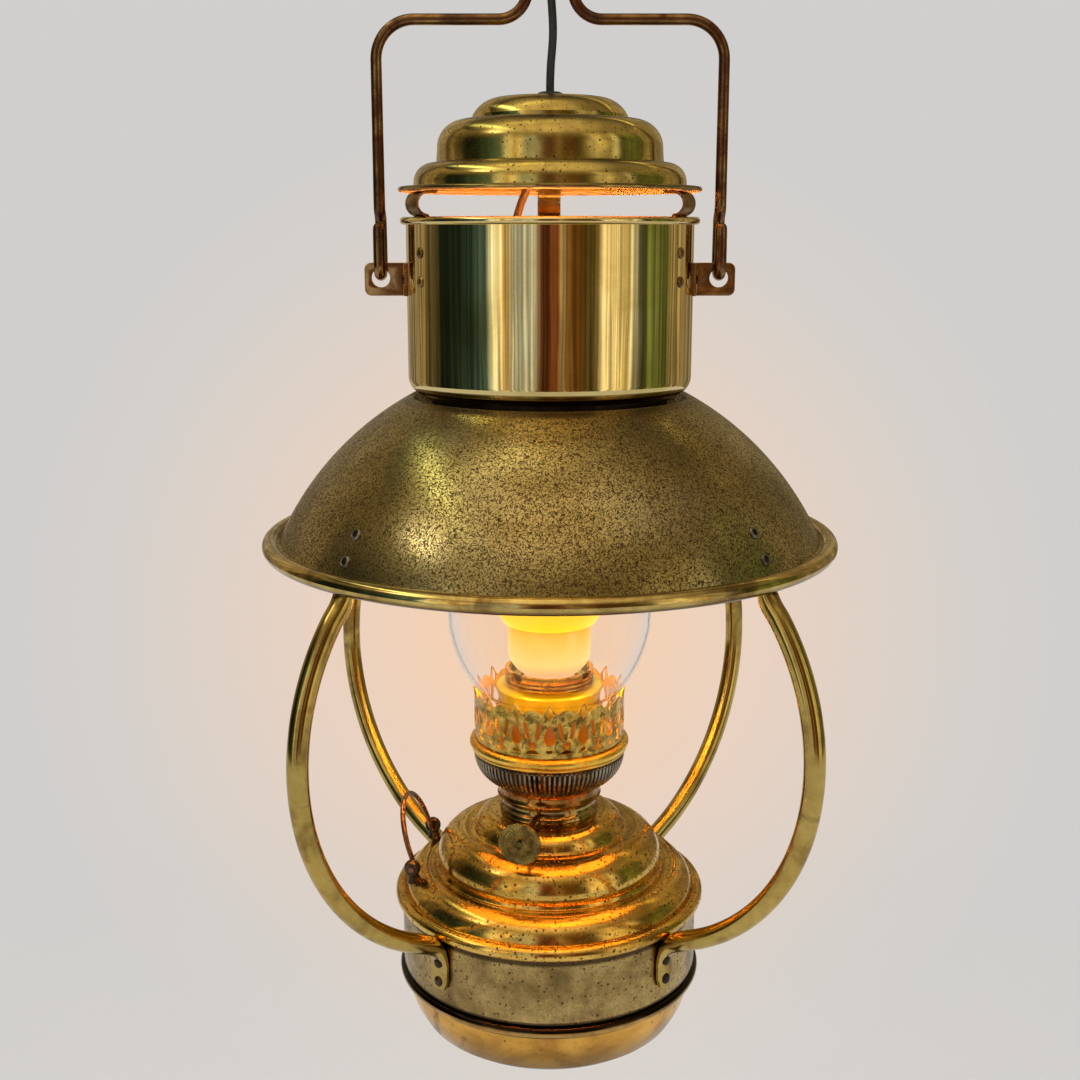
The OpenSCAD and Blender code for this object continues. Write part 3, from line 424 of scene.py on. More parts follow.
def brass(name, light, mid, dark, rough, mottle, seed, fleck=(), spots=(), stain=(), lines=0, dent=0, grain=0.35,
          edges=(), foot=None, head=None, inside=None, inner=None):
    """Brass that drifts between three tones, with thin flecks, dark spots, wide stains, lathe lines, dents and bands
    of painted shade at levels as asked. What faces down turns to foot, which is painted shade, or to inside; what
    faces up to head, which is painted shadow; and what faces the axis to inner."""
    look = Look(name)
    height, flat = look.axis(look.place, "Z"), look.vector("MULTIPLY", look.place, (1, 1, 0))
    moved = look.vector("ADD", look.place, (seed, seed * 0.7, seed * 1.3))
    drift = look.noise(mottle, 5, 0.6, moved, 0.4)
    colour = look.ramp(drift, (0.33, dark), (0.5, mid), (0.68, light))
    roughness = look.add("MapRange", {"Value": drift, "From Min": 0.35, "From Max": 0.65,
                                      "To Min": rough[1], "To Max": rough[0]}).outputs[0]
    normal = look.bump(look.noise(420, 4, 0.6, moved), 0.00006, grain)
    for scale, width, shade, amount in fleck:
        away = look.away(look.noise(scale, 1, 0.5, moved, 0.6), 0.5)
        share = look.math("MULTIPLY", look.ramp(away, (width * 0.4, 1), (width, 0)), amount)
        colour = look.mix(share, colour, shade)
        roughness = look.math("MULTIPLY_ADD", share, 0.25, roughness)
    for scale, size, keep in spots:
        waver = look.add("TexNoise", {"Vector": moved, "Scale": 300}).outputs["Color"]
        cells = look.add("TexVoronoi", {"Vector": look.mix(0.0012, moved, waver), "Scale": scale}).outputs
        chance = look.add("SeparateColor", {"Color": cells["Color"]}).outputs[0]
        dot = look.math("MULTIPLY", look.ramp(cells["Distance"], (size * 0.55, 1), (size, 0)),
                        look.math("GREATER_THAN", chance, keep))
        colour = look.mix(look.math("MULTIPLY", dot, 0.9), colour, PIT_AND_SHADE)
        roughness = look.math("MULTIPLY_ADD", dot, 0.3, roughness)
    for scale, low, high, shade, amount in stain:
        patch = look.ramp(look.noise(scale, 4, 0.6, moved, 0.8), (low, 0), (high, 1))
        colour = look.mix(look.math("MULTIPLY", patch, amount), colour, shade)
        roughness = look.math("MULTIPLY_ADD", patch, 0.12 * amount, roughness)
    if dent:
        normal = look.bump(look.noise(28, 2, 0.5, moved), dent * MM, 0.6, normal)
    if lines:
        turned = look.add("CombineXYZ", {"X": look.vector("LENGTH", flat), "Y": height}).outputs[0]
        normal = look.bump(look.noise(2600, 2, 0.7, turned), 0.00002, lines, normal)
    # Painted shade: darker bands at the given heights, standing in for shade in creases, grooves and under rims.
    for level, reach, shade, amount in edges:
        away = look.math("DIVIDE", look.away(height, level * MM), 2 * reach * MM)
        colour = look.mix(look.math("MULTIPLY", look.ramp(away, (0.3, 1), (0.5, 0)), amount), colour, shade)
    face = look.add("TexCoord").outputs["Normal"]
    up = look.axis(face, "Z")
    tilt = look.math("MULTIPLY_ADD", up, 0.5, 0.5)
    # Painted shade on faces that point down (foot), and painted shadow on faces that point up (head).
    if foot:
        colour = look.mix(look.ramp(tilt, (0.12, 1), (0.38, 0)), colour, foot)
    if head:
        colour = look.mix(look.ramp(tilt, (0.52, 0), (0.66, 1)), colour, head)
    metal = 1
    if inside or inner:
        within = look.math("LESS_THAN", *((up, -0.12) if inside else (look.vector("DOT_PRODUCT", flat, face), 0)))
        colour = look.mix(within, colour, inside or inner)
        metal = look.math("MULTIPLY_ADD", within, -0.65, 1)
        roughness = look.math("MAXIMUM", roughness, look.math("MULTIPLY", within, 0.5))
    look.show("BsdfPrincipled", {"Base Color": colour, "Metallic": metal, "Roughness": roughness,
                                        "Normal": normal})


def plain_black(name, rough, colour):
    look = Look(name)
    tone = look.ramp(look.noise(300, 3), (0.3, colour), (0.7, tuple(1.8 * c for c in colour)))
    look.show("BsdfPrincipled", {"Base Color": tone, "Roughness": rough,
                                        "Normal": look.bump(look.noise(1500, 3), 0.00005, 0.5)})


def glass_look():
    look = Look("clear_glass")
    solid = look.add("BsdfPrincipled", {
        "Base Color": (1, 0.983, 0.966), "Roughness": 0, "IOR": 1.22, "Transmission Weight": 1,
        "Normal": look.bump(look.noise(14, 2, 0.4), 0.0003, 0.15)})
    clear = look.add("BsdfTransparent", {"Color": (0.98, 0.97, 0.95)})
    shadow = look.add("LightPath").outputs["Is Shadow Ray"]
    look.show("MixShader", {0: shadow, 1: solid.outputs[0], 2: clear.outputs[0]})


def bulb_look(name, low, high, *stops):
    """Plastic that glows, changing with height from low to high in millimetres: the bulb's own light on the dome,
    painted glow on the body.
    """
    look = Look(name)
    share = look.add("MapRange", {"Value": look.axis(look.place, "Z"), "From Min": low * MM,
                                  "From Max": high * MM}).outputs[0]
    share = look.math("MULTIPLY_ADD", look.math("SUBTRACT", look.noise(60, 2), 0.5), 0.1, share)
    look.show("BsdfPrincipled", {
        "Base Color": (0.1, 0.06, 0.02), "Roughness": 0.32, "Emission Color": look.ramp(share, *stops),
        "Emission Strength": 1, "Normal": look.bump(look.noise(900, 2), 0.00003, 0.4)})


# Light, middle and dark tone, roughness of the light and dark parts, scale of the drift, seed, and what is on it
BRASSES = {
    "bail_brass": ((0.36, 0.21, 0.08), (0.2, 0.105, 0.042), (0.075, 0.038, 0.022), (0.18, 0.36), 70, 1,
     {"stain": [(55, 0.52, 0.62, (0.1, 0.028, 0.014), 0.75)], "grain": 0.15}),
    "satin_brass": ((0.7, 0.54, 0.15), (0.55, 0.41, 0.105), (0.27, 0.185, 0.045), (0.11, 0.22), 36, 2,
     {"spots": [(420, 0.26, 0.6), (800, 0.28, 0.6)], "lines": 0.15, "grain": 0.1,
      "stain": [(30, 0.5, 0.66, (0.16, 0.105, 0.035), 0.5)], "inside": (0.2, 0.09, 0.025),
      # Painted shade in the creases at the foot of the cap's steps and along its brim.
      "edges": [(CAP_TOP - 9.8, 0.8, PIT_AND_SHADE, 0.85), (CAP_TOP - 28.4, 0.8, PIT_AND_SHADE, 0.85), (CAP_Z + 1.9, 0.7, PIT_AND_SHADE, 0.7)]}),
    "bright_brass": ((0.8, 0.66, 0.31), (0.74, 0.59, 0.25), (0.6, 0.45, 0.16), (0.035, 0.07), 25, 3,
     {"lines": 0.06, "grain": 0.05, "dent": 0.05}),
    "aged_brass": ((0.58, 0.48, 0.22), (0.45, 0.345, 0.125), (0.28, 0.2, 0.06), (0.18, 0.24), 12, 4,
     {"fleck": [(820, 0.075, (0.07, 0.042, 0.015), 0.95), (360, 0.022, (0.05, 0.03, 0.01), 0.7)], "lines": 0.1,
      # Painted shadow of the hood on the shade's top edge.
      "grain": 0.1, "inside": (0.8, 0.55, 0.26), "edges": [(SHADE_EDGE_Z, 3, (0.12, 0.075, 0.03), 0.7)]}),
    "rim_brass": ((0.72, 0.55, 0.19), (0.52, 0.37, 0.12), (0.24, 0.15, 0.045), (0.08, 0.16), 60, 22,
     # Painted shade on the underside of the shade's rim bead.
     {"grain": 0.05, "foot": (0.1, 0.06, 0.02)}),
    "arm_brass": ((0.6, 0.44, 0.13), (0.48, 0.34, 0.09), (0.28, 0.18, 0.045), (0.1, 0.17), 50, 5,
     {"stain": [(60, 0.55, 0.68, (0.17, 0.09, 0.025), 0.6)], "grain": 0.02}),
    "pale_brass": ((0.6, 0.43, 0.165), (0.46, 0.32, 0.115), (0.25, 0.165, 0.055), (0.18, 0.3), 60, 6,
     {"fleck": [(520, 0.03, (0.17, 0.11, 0.045), 0.6)], "spots": [(380, 0.28, 0.45)],
      "stain": [(38, 0.46, 0.66, (0.17, 0.11, 0.045), 0.45), (170, 0.5, 0.64, (0.2, 0.14, 0.06), 0.35)], "lines": 0.2,
      "grain": 0.15,
      # Painted shade: a dark band at the band's top under the tank's bead, and at its foot above the dish.
      "edges": [(BAND_TOP, 3.2, (0.05, 0.03, 0.014), 0.9), (BAND_LOW, 1.2, (0.04, 0.025, 0.012), 0.85)]}),
    "dish_brass": ((0.84, 0.49, 0.11), (0.72, 0.4, 0.08), (0.44, 0.22, 0.045), (0.16, 0.26), 34, 16,
     {"spots": [(230, 0.16, 0.78), (600, 0.18, 0.82)], "lines": 0.35, "grain": 0.1,
      # Painted shade: the dish darker on faces that point down, and a dark line in the groove under its bead.
      "stain": [(26, 0.56, 0.66, (0.16, 0.08, 0.025), 0.7)], "foot": (0.045, 0.028, 0.012),
      "edges": [(DISH_BEAD_Z - 3.6, 0.8, (0.08, 0.04, 0.015), 0.7)]}),
    "tank_brass": ((0.86, 0.55, 0.13), (0.74, 0.45, 0.09), (0.48, 0.27, 0.045), (0.12, 0.19), 32, 7,
     {"spots": [(400, 0.32, 0.3), (800, 0.32, 0.4)], "lines": 0.05, "dent": 0.03, "grain": 0.03,
      "stain": [(34, 0.56, 0.7, (0.26, 0.14, 0.035), 0.45)]}),
    "dark_brass": ((0.11, 0.08, 0.045), (0.055, 0.04, 0.025), (0.022, 0.016, 0.011), (0.3, 0.5), 90, 8, {}),
    "bead_brass": ((0.6, 0.38, 0.12), (0.44, 0.26, 0.07), (0.22, 0.12, 0.03), (0.12, 0.22), 50, 23,
     # Painted shadow of the band on the top of the dish's bead.
     {"grain": 0.1, "head": (0.022, 0.013, 0.008)}),
    "collar_brass": ((0.55, 0.38, 0.12), (0.28, 0.18, 0.06), (0.07, 0.045, 0.02), (0.08, 0.18), 60, 24,
     {"grain": 0.05}),
    "ear_brass": ((0.55, 0.33, 0.12), (0.38, 0.21, 0.075), (0.16, 0.08, 0.032), (0.16, 0.3), 90, 25, {"grain": 0.1}),
    "eyelet_grey": ((0.3, 0.29, 0.24), (0.2, 0.19, 0.15), (0.09, 0.08, 0.06), (0.3, 0.45), 120, 17, {}),
    "rivet_brass": ((0.42, 0.28, 0.09), (0.28, 0.17, 0.055), (0.11, 0.06, 0.02), (0.22, 0.38), 130, 18, {}),
    "copper_brass": ((0.4, 0.2, 0.085), (0.26, 0.115, 0.05), (0.1, 0.042, 0.022), (0.2, 0.36), 90, 9, {}),
    "strap_brass": ((0.36, 0.23, 0.085), (0.235, 0.13, 0.045), (0.1, 0.052, 0.02), (0.24, 0.4), 80, 10, {}),
    "burner_brass": ((0.52, 0.26, 0.06), (0.4, 0.18, 0.035), (0.2, 0.08, 0.018), (0.1, 0.22), 80, 11,
     {"stain": [(90, 0.5, 0.62, (0.12, 0.045, 0.015), 0.5)], "grain": 0.08}),
    "holder_copper": ((0.62, 0.36, 0.03), (0.46, 0.24, 0.018), (0.2, 0.085, 0.008), (0.22, 0.34), 90, 19,
     {"grain": 0.1}),
    "basket_brass": ((0.42, 0.35, 0.25), (0.27, 0.21, 0.14), (0.1, 0.065, 0.04), (0.2, 0.34), 70, 12, {}),
    "gallery_brass": ((1, 0.7, 0.14), (0.96, 0.6, 0.09), (0.7, 0.38, 0.04), (0.26, 0.38), 70, 13,
     {"spots": [(500, 0.2, 0.8)], "grain": 0.08}),
    "crown_brass": ((0.9, 0.6, 0.13), (0.55, 0.36, 0.07), (0.16, 0.09, 0.018), (0.1, 0.2), 170, 20,
     {"stain": [(260, 0.56, 0.62, (0.07, 0.04, 0.012), 0.7)], "grain": 0.05, "inner": (0.36, 0.2, 0.02)}),
    "deck_brass": ((0.8, 0.74, 0.05), (0.72, 0.63, 0.03), (0.58, 0.45, 0.02), (0.34, 0.46), 60, 21,
     # Painted shade: the deck's wall darker and browner low down inside the crown.
     {"inner": (0.36, 0.2, 0.02), "edges": [(DECK_Z - 14, 11.5, (0.3, 0.14, 0.02), 0.9)]}),
    "knob_brass": ((0.34, 0.25, 0.065), (0.22, 0.155, 0.04), (0.09, 0.06, 0.018), (0.24, 0.4), 120, 14,
     {"spots": [(900, 0.2, 0.7)], "stain": [(200, 0.5, 0.6, (0.07, 0.045, 0.018), 0.6)], "grain": 0.2}),
    "cap_metal": ((0.75, 0.75, 0.73), (0.62, 0.62, 0.6), (0.45, 0.45, 0.43), (0.2, 0.35), 60, 15, {}),
}
for name, (*row, more) in BRASSES.items():
    brass(name, *row, **more)
for name, rough, colour in (("flex_rubber", 0.6, (0.008, 0.008, 0.008)), ("lead_rubber", 0.4, (0.07, 0.025, 0.012)),
                            ("black_plastic", 0.38, (0.018, 0.018, 0.02))):
    plain_black(name, rough, colour)
glass_look()
# The bulb's plastic body is no lamp: its glow here is painted light. The dome below is the lamp.
bulb_look("bulb_white", BULB_Z, BULB_JOINT, (0.14, (0.74, 0.42, 0.22)), (0.4, (0.95, 0.62, 0.2)),
          (0.8, (0.96, 0.5, 0.06)), (0.98, (0.95, 0.38, 0.01)))
bulb_look("bulb_glow", BULB_JOINT, BULB_TOP, (0, (1, 0.76, 0.01)), (0.12, (1, 0.64, 0)), (0.4, (1, 0.46, 0)))

for part in frame["record"]["subparts"]:
    node = frame["nodes"][part["node"]]
    node.data.materials.clear()
    node.data.materials.append(LOOKS[part["material_slot"]])
    node.data.shade_smooth()

# Cap, its edge, straps and grommet
cap_line = [(5, CAP_TOP)] + arc((STEP3_R * 0.5, CAP_TOP - 0.4), (STEP3_R, STEP3_Z + 2.1), 3.6, 18)
cap_line += [(STEP3_R + 0.2, STEP3_Z + 0.3), (STEP3_R + 0.5, STEP3_Z - 0.35)]
cap_line += arc((STEP3_R + 1.6, STEP3_Z), (STEP2_R - 0.4, STEP2_Z + 6.2), 4.6, 22)
cap_line += [(STEP2_R, STEP2_Z + 0.5), (STEP2_R + 0.2, STEP2_Z - 0.3)]
cap_line += arc((STEP2_R + 1.5, STEP2_Z), (STEP1_R - 0.1, STEP1_Z + 1.7), 2.7, 16)
cap_line += [(STEP1_R + 0.2, STEP1_Z - 0.4), (CAP_R - 1.2, STEP1_Z - 0.9)]
join("cap_shell", [spun(cap_line, -SHEET, 224, 0.35), bead(CAP_R - 1.2, CAP_Z + 1.2, 1.2, 224)], "lamp", "satin_brass",
     ["cap"])
grommet = [(0, -5), (5.4, -5), (6.2, -1.108), (4.8, -0.508), (4.8, 0.1), (7, 0.15), (7, 1)]
grommet = shift(grommet + arc((6.6, 1.4), (2.6, 3.1), -0.7, 6) + [(2.2, 2.6), (0, 2.4)], z=CAP_TOP)
join("grommet", [lathe(soften(grommet, 0.4), 64)], "lamp", "flex_rubber", ["cord_grommet"])

STRAP_ANGLES, STRAP_T, STRAP_W = (90, 210, 330), 1.2, 11.5
vent = CAP_Z - HOOD_TOP
bend, vent_mid = vent / 2 - STRAP_T / 2, HOOD_TOP + vent / 2
low_r, tab_r = HOOD_R - SHEET - GAP - STRAP_T / 2 - 0.2, STEP1_R - SHEET - STRAP_T / 2 - 0.9
strap_line = [(tab_r, CAP_Z + 6), (tab_r, vent_mid + bend + 0.8), (tab_r + 0.8, vent_mid + bend)]
strap_line += arc((low_r + 0.6, vent_mid + bend), (low_r + 0.6, vent_mid - bend), bend * 0.999, 18)
strap_line += [(low_r, HOOD_TOP - 0.8), (low_r, HOOD_TOP - 34)]
strap = plate(sheet(offset(soften(strap_line, 0.8), -STRAP_T / 2), STRAP_T), [], STRAP_W, 0.28)
join("straps", [placed(strap, rotate(a)) for a in STRAP_ANGLES], "lamp", "strap_brass", ["cap_straps"])
rivets = []
for a in STRAP_ANGLES:
    for z in (HOOD_TOP - 15.6, HOOD_TOP - 28.1):
        rivets.append(placed(dome_rivet(2.5, 1.2), rotate(a) @ move(HOOD_R, 0, z)))
        rivets.append(placed(dome_rivet(1.9, 0.5), rotate(a) @ move(HOOD_R - 2.4, 0, z) @ rotate(180)))
join("strap_rivet_heads", rivets, "lamp", "strap_brass", ["strap_rivets"], "rivet_brass")

# Hood with its rolled rim and rounded base
hood_line = [(HOOD_R + 0.9, HOOD_TOP - 0.8), (HOOD_R, HOOD_TOP - 2.2), (HOOD_R, HOOD_TOP - 30)]
hood_line += ring(HOOD_R - 8, HOOD_LOW + 8, 8, 0, -90, 14) + [(NECK_R - 1.5, HOOD_LOW)]
join("hood_shell", [spun(hood_line, -SHEET, 256, 0.3), bead(HOOD_R + 0.9, HOOD_TOP - 1.7, 1.7, 256)], "lamp",
     "bright_brass", ["hood"], smooth=30)


def ear():
    """Ear plate with its eye, standing out along +X, and its foot with two bent flanges."""
    low, out, r, eye_r = EAR_TOP - 15, BAIL_X + 7.5, 3, 4.3
    outline = [(HOOD_R + 0.6, low)] + ring(out - r, low + r, r, -90, 0, 6)
    outline += ring(out - r, EAR_TOP - r, r, 0, 90, 6) + [(HOOD_R + 0.6, EAR_TOP)]
    parts = [plate(outline, [circle(BAIL_X, PIVOT_Z - 2.15 - eye_r, eye_r, 40)], 1.6, 0.3)]
    for side in (-1, 1):
        rows = []
        for share in spread(0, 1, 8):
            a, lift = side * (0.6 + 7 * share), 0.35 * math.sin(math.pi * share)
            edge = [(HOOD_R, 0.2), (HOOD_R + 1 + lift, 0.1), (HOOD_R + 1.2 + lift, 0.5)]
            rows.append([(*polar(x, a), low + z) for x, z in edge]
                        + [(*polar(x, a), EAR_TOP - z) for x, z in edge[::-1]])
        parts.append(loft(rows))
        parts.append(sweep([(HOOD_R + x, side * y, z) for x, y, z in
                            ((1.3, 1.7, low + 0.6), (1.5, 1.6, low + 4), (1.5, 1.6, EAR_TOP - 4),
                             (1.3, 1.7, EAR_TOP - 0.6))], 0.9, 12))
    return parts


for name, turn in (("right", 0), ("left", 180)):
    join("ear_plate_" + name, [placed(p, rotate(turn)) for p in ear()], "lamp", "bail_brass", ["ear_" + name],
         "ear_brass")
join("ear_rivet_heads", [placed(dome_rivet(2.2, 1), rotate(s + t) @ move(HOOD_R + 1.2, 0, EAR_TOP - 7.5))
                         for s in (0, 180) for t in (-4.9, 4.9)], "lamp", "bail_brass", ["ear_rivets"], "dark_brass")
neck = [(NECK_R - 1.5, HOOD_LOW), (NECK_R, HOOD_LOW), (NECK_R, WELL_Z - 1), (NECK_R + 4, WELL_Z - 1),
        (NECK_R + 4, WELL_Z - 2.2), (NECK_R - 1.5, WELL_Z - 2.2)]
join("neck_band", [lathe(neck, 160)], "lamp", "dark_brass", ["neck_ring"], smooth=30)

# Shade, and the circle of its wall for what lies on it
shade_line = [(NECK_R, WELL_Z), (SHADE_TOP_R - 3.2, WELL_Z), (SHADE_TOP_R - 1.4, SHADE_EDGE_Z - 1)]
shade_line += arc((SHADE_TOP_R, SHADE_EDGE_Z), SHADE_FOOT, SHADE_BOW, 44) + [(SHADE_R - SHADE_BEAD_R, SHADE_BEAD_Z)]
join("shade_shell", [spun(shade_line, -SHADE_T, 288, 0.5)], "lamp", "aged_brass", ["shade"])
join("shade_bead", [bead(SHADE_R - SHADE_BEAD_R - 0.05, SHADE_BEAD_Z, SHADE_BEAD_R, 288)], "lamp", "aged_brass",
     look="rim_brass")
wall_mid, WALL_R, wall_start, wall_turn = circle_of((SHADE_TOP_R, SHADE_EDGE_Z), SHADE_FOOT, SHADE_BOW)


def on_wall(up, r):
    """Place on the wall's circle with radius r, up along the wall from its foot, and the angle there."""
    a = wall_start + wall_turn + up / WALL_R
    return wall_mid.x + r * math.cos(a), wall_mid.y + r * math.sin(a), a


eyelets, cores = [], []
for turn in ARM_ANGLES:
    for s in (-1, 1):
        x, z, a = on_wall(TAB_TOP_L / 2 + 2 + s * 6.25, WALL_R)
        at = rotate(turn) @ move(x, 0, z) @ rotate(-math.degrees(a), "Y")
        eyelets.append(placed(dome_rivet(2.7, 1.1, 1.55), at))
        cores.append(placed(dome_rivet(1.6, 0.35), at))
join("shade_eyelets", eyelets, "lamp", "dark_brass", ["shade_rivets"], "eyelet_grey")
join("shade_eyelet_cores", cores, "lamp", "dark_brass")


# Arms
def arm_rows():
    """Stations of an arm: distance out, height, and how far it is flattened."""
    tab_x, foot_z = BAND_R + GAP + TAB_T / 2, BAND_TOP - ARM_D * 1.1
    end_x, end_z = polar(ARM_BEND_R, -66, ARM_MID_R, ARM_Z)
    drop, under = end_z - foot_z, WALL_R - SHADE_T - GAP - TAB_T / 2
    x, z, _ = on_wall(-1, under)
    return ([(*on_wall(up, under)[:2], 1) for up in (TAB_TOP_L + 2, TAB_TOP_L / 2 + 2, 5)] + [(x - 1.6, z - 0.6, 0.6)]
            + [(x, z, 0) for x, z in ring(ARM_MID_R, ARM_Z, ARM_BEND_R, 40, -66, 24)]
            + [(tab_x + (end_x - tab_x) * 0.47, end_z - drop * 0.25, 0),
               (tab_x + (end_x - tab_x) * 0.14, end_z - drop * 0.56, 0.5),
               (tab_x, foot_z, 1), (tab_x, foot_z - 4, 1), (tab_x, BAND_TOP - 23.6, 1)])


def arm(sides=36):
    rows = smooth_route(arm_rows(), 4)
    line = [Vector((x, 0, z)) for x, z, _ in rows]
    rings = []
    for i, (_, _, flat) in enumerate(rows):
        v = heading(line, i).cross(Vector((0, 1, 0)))
        flat = min(max(flat, 0), 1)
        tip = 1 - 0.35 * max(0, 1 - (len(rows) - 1 - i) / 2)
        points = []
        for c, s in ring(0, 0, 1, 180 / sides, 360 + 180 / sides, sides)[:-1]:
            wide = math.copysign(abs(c) ** 0.35, c) * TAB_W / 2 * tip
            thick = math.copysign(abs(s) ** 0.35, s) * TAB_T / 2
            points.append(line[i] + Vector((0, c * ARM_D / 2 * (1 - flat) + wide * flat, 0))
                          + v * (s * ARM_D / 2 * (1 - flat) + thick * flat))
        rings.append(points)
    return loft(rings)


for name, turn in zip(("front_left", "front_right", "back_right", "back_left"), ARM_ANGLES):
    join("arm_tube_" + name, [placed(arm(), rotate(turn))], "lamp", "arm_brass", ["arm_" + name], smooth=50)

# Holder band with its rivets, and the drip dish
band_line = [(0, BAND_TOP), (0, BAND_LOW), (-0.6, BAND_LOW - 1.2), (-4.2, BAND_LOW - 1.2), (-4.2, BAND_LOW),
             (-BAND_T, BAND_LOW), (-BAND_T, BAND_TOP)]
join("band_shell", [lathe(soften(shift(band_line, BAND_R), 0.3), 224)], "lamp", "pale_brass", ["holder_band"],
     smooth=35)
join("band_rivet_heads", [placed(dome_rivet(2.5, 1.2), rotate(turn) @ move(BAND_R + GAP + TAB_T, 0, BAND_TOP - up))
                          for turn in ARM_ANGLES for up in (19.9, 10.4)], "lamp", "dark_brass", ["band_rivets"])
dish_line = [(BAND_R - 1.6, BAND_LOW - 1.2), (BAND_R - 1.6, DISH_BEAD_Z)]
dish_line += arc((BAND_R - 1.8, DISH_BEAD_Z - 2.6), (BAND_R - 8, DISH_LOW + DISH_H * 0.43), 1.3, 10)
dish_line += arc((BAND_R - 9.4, DISH_LOW + DISH_H * 0.38), (22, DISH_LOW + 1), 3.4, 20)
join("dish_shell", [spun(dish_line + [(13, DISH_LOW), (0, DISH_LOW)], -1.2, 256, 1.2)], "lamp", "satin_brass",
     ["drip_dish"], "dish_brass")
join("dish_bead", [bead(BAND_R + 1.9 - 2.6, DISH_BEAD_Z, 2.6, 256)], "lamp", "satin_brass", look="bead_brass")

# Tank
cup_line = [(TANK_R, TANK_BEAD_Z - TANK_BEAD_R * 0.85)] + ring(TANK_R - 5, TANK_LOW + 5, 5, 0, -90, 8)
join("cup_shell", [spun(cup_line + [(0, TANK_LOW)], -SHEET, 160)], "tank", "pale_brass", ["tank_cup"])
tank_line = [(COLLAR_R - 1.5, TANK_TOP)]
tank_line += arc((COLLAR_R + 2, TANK_TOP - 0.4), (TANK_STEP3_R, TANK_STEP3_Z + 0.4), 2.2, 14)
tank_line += shift([(0.8, -0.7), (2, -1.1), (3.4, -0.9)], TANK_STEP3_R, TANK_STEP3_Z)
tank_line += arc((TANK_STEP3_R + 5, TANK_STEP3_Z - 0.6), (TANK_STEP2_R - 0.2, TANK_STEP2_Z + 1.6), 5.4, 24)
tank_line += shift([(0.5, 0.1), (1.6, -0.2), (2.4, 0.2)], TANK_STEP2_R, TANK_STEP2_Z)
tank_line += arc((TANK_STEP2_R + 3.5, TANK_STEP2_Z + 0.4), (TANK_R, TANK_BEAD_Z + 0.6), 4.4, 20)
join("tank_shell", [spun(tank_line + [(TANK_R, TANK_BEAD_Z)], -SHEET, 288, 0.5),
                    bead(TANK_R + 1.9, TANK_BEAD_Z, TANK_BEAD_R, 288)], "tank", "tank_brass", ["tank_top"])
collar = [(-3, TANK_TOP), (-0.4, TANK_TOP), (-0.2, TANK_TOP + 0.6), (-0.6, COLLAR_Z), (-3, COLLAR_Z)]
join("collar", [lathe(shift(collar, COLLAR_R), 128)], "tank", "dark_brass", ["tank_collar"], "collar_brass")

# Carrying ring and its lugs
hinge = rotate(RING_TURN) @ move(RING_X, 0, RING_Z)
bow = RING_W / 2
barrel = lathe([(1.36, -2.5)] + arc((3.2, -2.5), (3.2, 2.5), -0.9, 8) + [(1.36, 2.5)], 32)
lugs = []
for y in (-bow - 4.1, bow + 4.1):
    lugs.append(placed(barrel, hinge @ move(0, y, 0) @ rotate(90, "X")))
    foot = sweep([(0, y, -2), (-0.4, y, -4.2), (-0.9, y * 0.98, -6.6)], [2.6, 2.7, 3.6], 18)
    lugs.append(placed(foot, hinge))
join("lugs", lugs, "tank", "dark_brass", ["ring_lugs"])
wire = [(-bow - 7.2, 0), (-bow - 3, 0), (-bow - 0.4, 0.2), (-bow, 1.2)]
wire += ring(0, RING_H - bow, bow, 180, 0, 20) + [(-y, z) for y, z in wire[::-1]]
join("ring_wire", [placed(sweep([(0, y, z) for y, z in wire], WIRE_R, 20), hinge @ rotate(RING_LEAN, "Y"))],
     "carrying_ring", "copper_brass", ["tank_ring"])

# Burner: neck, slotted basket and wick tube
neck_line = [(NECK_BORE, 0), (23.2, 0), (23.6, 0.3), (25.5, 0.6), (25.7, 1.1)] + arc((25.3, 1.5), (25.4, 6.8), 0.5, 8)
neck_line = shift(neck_line + [(25.7, 7.4)], z=NECK_Z) + [(25.4, BASKET_LOW), (NECK_BORE, BASKET_LOW)]
inner_line = [(20.3, TANK_TOP - 3), (21.7, TANK_TOP - 3), (21.7, COLLAR_Z + 0.5), (20.3, COLLAR_Z + 0.5)]
join("burner_neck_band", [lathe(neck_line, 144), lathe(inner_line, 96)], "tank", "burner_brass", ["burner_neck"])
ring_line = shift([(NECK_BORE, 0), (24.2, 0), (24.6, 0.5), (24.3, 1.1), (23.3, 1.6)], z=COLLAR_Z)
ring_line += arc((23.2, COLLAR_Z + 1.8), (23.2, NECK_Z - 0.4), 0.35, 6) + [(NECK_BORE, NECK_Z - 0.2)]
join("burner_neck_ring", [lathe(ring_line, 144)], "tank", "burner_brass", look="collar_brass")

SLOTS, BASKET_T = 96, 0.9
basket_wall = arc((26.6, BASKET_LOW + 0.5), (36.7, BASKET_TOP - 1.6), -3, 16)
bars = [lathe(sheet([(23.3, BASKET_LOW), (26, BASKET_LOW)] + basket_wall[:3], BASKET_T), 144),
        lathe(sheet(basket_wall[-2:] + [(36.9, BASKET_TOP)], BASKET_T), 144),
        bead(36.7, BASKET_TOP - 0.9, 0.7, 144, 16)]
span = [Vector(p) for p in basket_wall[2:-1]]
rows = []
for i, p in enumerate(span):
    d, half = heading(span, i), p.x * math.pi / SLOTS * 0.5
    rows.append([(p.x + d.y * e * BASKET_T / 2, s * half * k, p.y - d.x * e * BASKET_T / 2) for e, s, k in
                 ((1, -1, 0.7), (1, 1, 0.7), (0.4, 1, 1), (-1, 1, 1), (-1, -1, 1), (0.4, -1, 1))])
bars += [placed(loft(rows), rotate(360 * i / SLOTS)) for i in range(SLOTS)]
join("basket", bars, "tank", "basket_brass", ["air_basket"], smooth=30)
